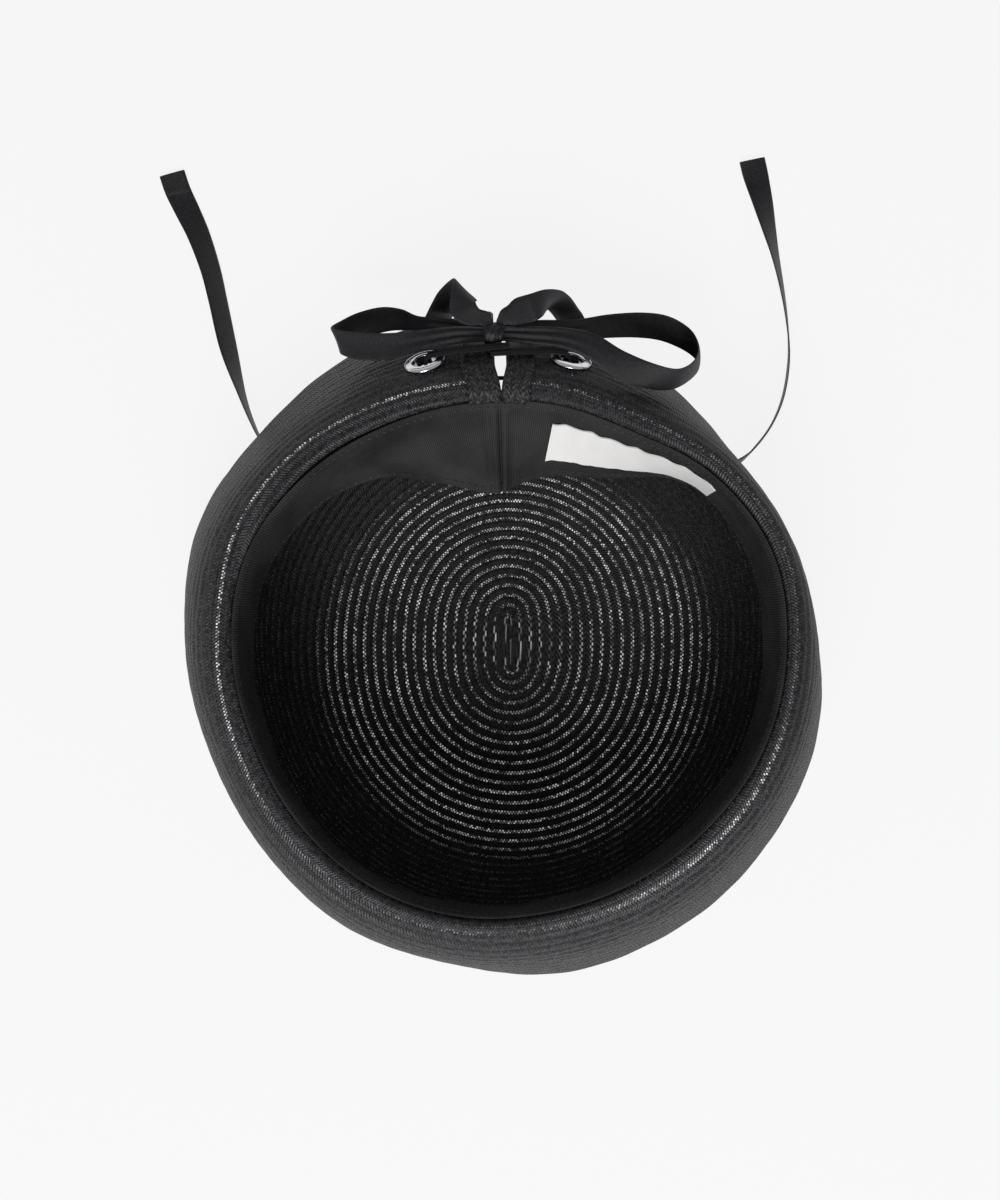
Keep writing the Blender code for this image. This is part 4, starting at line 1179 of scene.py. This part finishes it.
def knot_piece(material):
    """Knot: a soft round body under a band of ribbon that wraps it aslant.

    The radius is a squared ellipsoid's, raised on the wrap, which is a wide flat arch about the body's
    own tilted axis, and creased beside it by narrow waves.
    """
    centre, aside, down, out = knot_frame()
    polar = np.linspace(0.0, math.pi, 61)[:, None]
    turn = np.linspace(0.0, 2 * math.pi, 97)[None, :]
    x = np.sin(polar) * np.cos(turn)
    y = np.sin(polar) * np.sin(turn)
    z = np.cos(polar) + 0 * turn
    direction = np.stack([x, y, z], axis=-1)
    away = direction @ unit(np.array(KNOT_WRAP_AXIS))
    wrap = 1 / (1 + np.exp((np.abs(away) - 0.48) / 0.035))
    creases = 0.045 * np.sin(away * 17 + y * 5) * (1 - wrap) + 0.03 * np.sin(away * 13) * wrap
    grow = 1.0 + 0.10 * wrap + creases - 0.12 * (1 - wrap) * np.abs(away)
    shaped = np.sign(direction) * np.abs(direction) ** 0.82
    half = np.array([KNOT_SIZE, KNOT_SIZE * 0.94, KNOT_SIZE * 0.80]) / 2
    local = shaped * half * grow[..., None] * 0.95
    points = centre + local[..., :1] * aside + local[..., 1:2] * down + local[..., 2:] * out
    points[:, -1] = points[:, 0]
    along = face_corners(np.broadcast_to(turn * 2.0, away.shape))
    piece = skin_piece("bow_knot_wrap", points, along, face_corners(away * 9.0), material)
    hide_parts("bow_knot")


def skin_piece(name, points, along, across, material):
    """Closed skin from a grid whose last column meets its first and whose end rows are poles."""
    first, faces = joined_faces(points, 1e7)
    uvs = np.stack([along, across], axis=-1).reshape(-1, 4, 2)
    distinct = faces != np.roll(faces, 1, axis=1)
    kept = distinct.sum(axis=1) >= 3
    faces, uvs, distinct = faces[kept], uvs[kept], distinct[kept]
    mesh = bpy.data.meshes.new(name)
    mesh.from_pydata(points.reshape(-1, 3)[first].tolist(), [],
                     [row[mask].tolist() for row, mask in zip(faces, distinct)])
    layer = mesh.uv_layers.new(name="surface")
    layer.data.foreach_set("uv", uvs[distinct].astype(np.float32).reshape(-1))
    return finish_mesh(name, mesh, material)


def loop_piece(side, material):
    """Loop of the bow, drawn narrow and gathered where it runs into the knot."""
    knot = knot_frame()[0]
    table = np.array(LOOP_SECTIONS[side], float)
    places = knot + LOOP_REACHES[side] * table[:, :3]
    front, back, along, over, _ = ribbon_grids(places, width_vectors(table), LOOP_STEPS, gather=0.0009)
    piece = sheet_piece("bow_ribbon_" + side, front, back, along, over, material)
    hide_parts("bow_loop_" + side)


def lacing_rows(side):
    """Distances aside from the slit, heights off the brim and places across it, from the knot and back."""
    centre = EYELET_DISTANCES[side] - LACING_BEND
    above = LACING_LIFTS[side] * LACING_BEND
    rows = [(-LACING_OVERLAP, above, LACING_KNOT_PLACE + LACING_CROSSINGS[side])]
    rows.append((centre / 2, above, EYELET_FROM_FOLD - LACING_DIP))
    for turn in np.radians([90, 60, 30, 0, -30, -60, -90]):
        rows.append((centre + LACING_BEND * math.cos(turn), LACING_BEND * math.sin(turn), EYELET_FROM_FOLD))
    rows.append((centre / 2, -LACING_SIDE_SAG * LACING_SAG, LACING_BEHIND_PLACE * LACING_SIDE_PLACE))
    return rows


def lacing_piece(material):
    """Lacing: the ribbon from the knot through one eyelet, behind the slit and out of the other."""
    rows = [("left", *row) for row in lacing_rows("left")]
    rows.append(("left", 0.0, -LACING_SAG, LACING_BEHIND_PLACE))
    rows += [("right", *row) for row in reversed(lacing_rows("right"))]
    places, across = [], []
    for side, aside, off, place in rows:
        azimuth = beside_slit(side, aside, place)
        places.append(brim_point(azimuth, place, off))
        down = unit(brim_point(azimuth, place + GAP, 0.0) - brim_point(azimuth, place - GAP, 0.0))
        # Behind the slit the gathered strand stands on its edge
        if off < 0 and aside < LACING_ON_EDGE:
            down = np.array([0.0, 0.0, -1.0])
        across.append(down * RIBBON_WIDTH * LACING_WIDTH_SHARE)
    front, back, along, over, _ = ribbon_grids(np.array(places), np.array(across), LACING_STEPS,
                                               gather=0.0007)
    piece = sheet_piece("lacing_ribbon", front, back, along, over, material)
    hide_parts("ribbon_lacing")


def tail_piece(side, material):
    """Tail: a loose end of the ribbon with its hem, as wide as the ribbon."""
    table = np.array(TAIL_POINTS[side], float)
    root = [*(knot_frame()[0] * 1000 + TAIL_ROOT_MM[side]), *table[0, 3:5], 0.42]
    table = np.vstack([root, table])
    places = table[:, :3] / 1000
    across = width_vectors(table)
    dense = smooth_path(np.hstack([places, across]), TAIL_STEPS)[:, :3]
    length = path_lengths(dense)
    hem = np.clip((length - (length[-1] - HEM_LENGTH)) / 0.0004, 0.0, 1.0)
    front, back, along, over, middle = ribbon_grids(places, across, TAIL_STEPS, cup=0.0002,
                                                    wall=RIBBON_WALL * (1 + 0.9 * hem))
    piece = sheet_piece("tail_ribbon_" + side, front, back, along, over, material)
    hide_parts("ribbon_tail_" + side)


def studio(settings):
    """Camera at the photograph's angle, a plain pale floor and soft light from all round."""
    scene = bpy.context.scene
    camera = bpy.data.cameras.new("camera")
    camera.lens = CAMERA_LENS_MM
    camera.sensor_width = CAMERA_SENSOR_MM
    camera.clip_start = 0.01
    camera.clip_end = 20.0
    viewer = bpy.data.objects.new("camera", camera)
    viewer.location = CAMERA_PLACE
    scene.collection.objects.link(viewer)
    scene.camera = viewer
    mesh = bpy.data.meshes.new("floor")
    corners = [(x * FLOOR_HALF, y * FLOOR_HALF, 0) for x, y in ((-1, -1), (1, -1), (1, 1), (-1, 1))]
    mesh.from_pydata(corners, [], [(0, 1, 2, 3)])
    floor = bpy.data.objects.new("floor", mesh)
    floor.location.z = -FLOOR_DROP
    scene.collection.objects.link(floor)
    material, _, shader = new_material("paper_floor", 0.9, specular_ior_level=0.0)
    shader.inputs["Base Color"].default_value = (0.05, 0.05, 0.05, 1.0)
    shader.inputs["Emission Color"].default_value = (*settings.floor_colour, 1.0)
    shader.inputs["Emission Strength"].default_value = settings.floor_glow
    mesh.materials.append(material)
    world = bpy.data.worlds.new("soft_light")
    world.use_nodes = True
    world.node_tree.nodes["Background"].inputs["Color"].default_value = (0.93, 0.935, 0.95, 1.0)
    world.node_tree.nodes["Background"].inputs["Strength"].default_value = settings.world_light
    scene.world = world
    for name, (place, size, share) in LIGHTS.items():
        light = bpy.data.lights.new(name, "AREA")
        light.size = size
        light.energy = settings.key_watts * share
        lamp = bpy.data.objects.new(name, light)
        lamp.location = place
        lamp.rotation_euler = (Vector((0, 0, 0.05)) - Vector(place)).to_track_quat("-Z", "Y").to_euler()
        scene.collection.objects.link(lamp)
    scene.view_settings.view_transform = "Standard"
    scene.view_settings.look = "None"


def colour_setting(name, description, code):
    """Colour setting whose default is an sRGB hex value."""
    return FloatVectorProperty(name=name, description=description, subtype="COLOR", default=linear(code))


class CapBraidSettings(bpy.types.PropertyGroup):
    """Sizes and colours of the braid."""

    row_mm: FloatProperty(name="Row", description="Width of one row of braid in millimetres", default=3.75,
                          min=2.0, max=8.0)
    row_depth_mm: FloatProperty(name="Row depth", description="Depth of a valley in millimetres",
                                default=0.42, min=0.1, max=0.7)
    weave_mm: FloatProperty(name="Weave", description="Length of one plait along a row in millimetres",
                            default=1.06, min=0.5, max=3.0)
    crown_colour: colour_setting("Crown", "Colour of its braid", "#0e0e10")
    brim_colour: colour_setting("Brim", "Colour of the brim's braid", "#1a1a1d")
    facing_colour: colour_setting("Facing", "Colour of the slit's facings", "#1e1e20")
    glint_colour: colour_setting("Glint", "Colour of the light between rows", "#c8c8c8")


class CapClothSettings(bpy.types.PropertyGroup):
    """Colours of the band, label, ribbon and eyelets."""

    band_colour: colour_setting("Sweatband", "Colour of the twill", "#242425")
    label_colour: colour_setting("Label", "Colour of the blank label", "#d8d7d6")
    ribbon_colour: colour_setting("Ribbon", "Colour of the ribbon", "#0e0d11")
    metal_colour: colour_setting("Eyelets", "Colour of the plated metal", "#d9dadd")


class CapStageSettings(bpy.types.PropertyGroup):
    """Light and floor."""

    floor_colour: colour_setting("Floor", "Colour of the pale floor", "#f7f7f7")
    floor_glow: FloatProperty(name="Floor glow", description="How much light the paper floor gives back",
                              default=0.940, min=0.0, max=2.0)
    world_light: FloatProperty(name="Soft light", description="Strength of the light from all round",
                               default=0.38, min=0.0, max=4.0)
    key_watts: FloatProperty(name="Key light", description="Power of the key light", subtype="POWER",
                             unit="POWER", default=19.0, min=0.0, max=200.0)


class CAP_OT_crown(bpy.types.Operator):
    """Make the crown's spiral of braid"""

    bl_idname = "cap.crown"
    bl_label = "Crown"

    def execute(self, context):
        settings = context.scene.cap_braid
        material = braid_material("crown_braid_yarn", tuple(settings.crown_colour),
                                  tuple(settings.glint_colour), settings.weave_mm, crown_zone,
                                  *BRAID_LOOKS["crown"])
        crown_piece(settings, material)
        return {"FINISHED"}


class CAP_OT_brim(bpy.types.Operator):
    """Make the turned brim's rows of braid"""

    bl_idname = "cap.brim"
    bl_label = "Brim"

    def execute(self, context):
        settings = context.scene.cap_braid
        material = braid_material("brim_braid_yarn", tuple(settings.brim_colour),
                                  tuple(settings.glint_colour), settings.weave_mm, brim_zone,
                                  *BRAID_LOOKS["brim"])
        brim_piece(settings, material)
        return {"FINISHED"}


class CAP_OT_facings(bpy.types.Operator):
    """Make the braid facings beside the slit"""

    bl_idname = "cap.facings"
    bl_label = "Facings"

    def execute(self, context):
        settings = context.scene.cap_braid
        material = braid_material("facing_braid_yarn", tuple(settings.facing_colour),
                                  tuple(settings.glint_colour), FACING_WEAVE_MM, facing_zone,
                                  *BRAID_LOOKS["facing"])
        for side in ("left", "right"):
            facing_piece(side, material)
        return {"FINISHED"}


class CAP_OT_band(bpy.types.Operator):
    """Make the sweatband, its stitching and the label"""

    bl_idname = "cap.band"
    bl_label = "Sweatband and label"

    def execute(self, context):
        settings = context.scene.cap_cloth
        sweatband_piece(twill_material(tuple(settings.band_colour)))
        band_stitching(thread_material(linear("#232324")))
        label_piece(label_material(tuple(settings.label_colour)))
        return {"FINISHED"}


class CAP_OT_eyelets(bpy.types.Operator):
    """Make the two metal eyelets"""

    bl_idname = "cap.eyelets"
    bl_label = "Eyelets"

    def execute(self, context):
        material = metal_material(tuple(context.scene.cap_cloth.metal_colour))
        for side in ("left", "right"):
            eyelet_piece(side, material)
        return {"FINISHED"}


class CAP_OT_ribbon(bpy.types.Operator):
    """Make the tied ribbon: lacing, knot, loops and tails"""

    bl_idname = "cap.ribbon"
    bl_label = "Ribbon bow"

    def execute(self, context):
        material = ribbon_material(tuple(context.scene.cap_cloth.ribbon_colour))
        for side in ("left", "right"):
            tail_piece(side, material)
        lacing_piece(material)
        knot_piece(material)
        for side in ("left", "right"):
            loop_piece(side, material)
        return {"FINISHED"}


class CAP_OT_stage(bpy.types.Operator):
    """Make the camera, the pale floor and the soft light"""

    bl_idname = "cap.stage"
    bl_label = "Stage"

    def execute(self, context):
        studio(context.scene.cap_stage)
        return {"FINISHED"}


class CAP_PT_panel(bpy.types.Panel):
    """Panel that lists the cap's settings and pieces"""

    bl_label = "Sailor cap"
    bl_idname = "CAP_PT_panel"
    bl_space_type = "VIEW_3D"
    bl_region_type = "UI"
    bl_category = "Cap"

    def draw(self, context):
        for group in (context.scene.cap_braid, context.scene.cap_cloth, context.scene.cap_stage):
            box = self.layout.box()
            for name in group.__annotations__:
                box.prop(group, name)
        for operator in OPERATORS:
            self.layout.operator(operator.bl_idname)


SETTINGS = {"cap_braid": CapBraidSettings, "cap_cloth": CapClothSettings, "cap_stage": CapStageSettings}
OPERATORS = (CAP_OT_stage, CAP_OT_ribbon, CAP_OT_crown, CAP_OT_brim, CAP_OT_facings, CAP_OT_band,
             CAP_OT_eyelets)


def register():
    """Register the settings, the operators and the panel."""
    for name, group in SETTINGS.items():
        bpy.utils.register_class(group)
        setattr(bpy.types.Scene, name, PointerProperty(type=group))
    for kind in (*OPERATORS, CAP_PT_panel):
        bpy.utils.register_class(kind)


def unregister():
    """Take the panel, the operators and the settings back."""
    for kind in reversed((*OPERATORS, CAP_PT_panel)):
        bpy.utils.unregister_class(kind)
    for name, group in SETTINGS.items():
        delattr(bpy.types.Scene, name)
        bpy.utils.unregister_class(group)


def main():
    """Dress the frame piece by piece."""
    register()
    bpy.ops.cap.stage()
    bpy.ops.cap.ribbon()
    bpy.ops.cap.crown()
    bpy.ops.cap.brim()
    bpy.ops.cap.facings()
    bpy.ops.cap.band()
    bpy.ops.cap.eyelets()


if __name__ == "__main__":
    main()
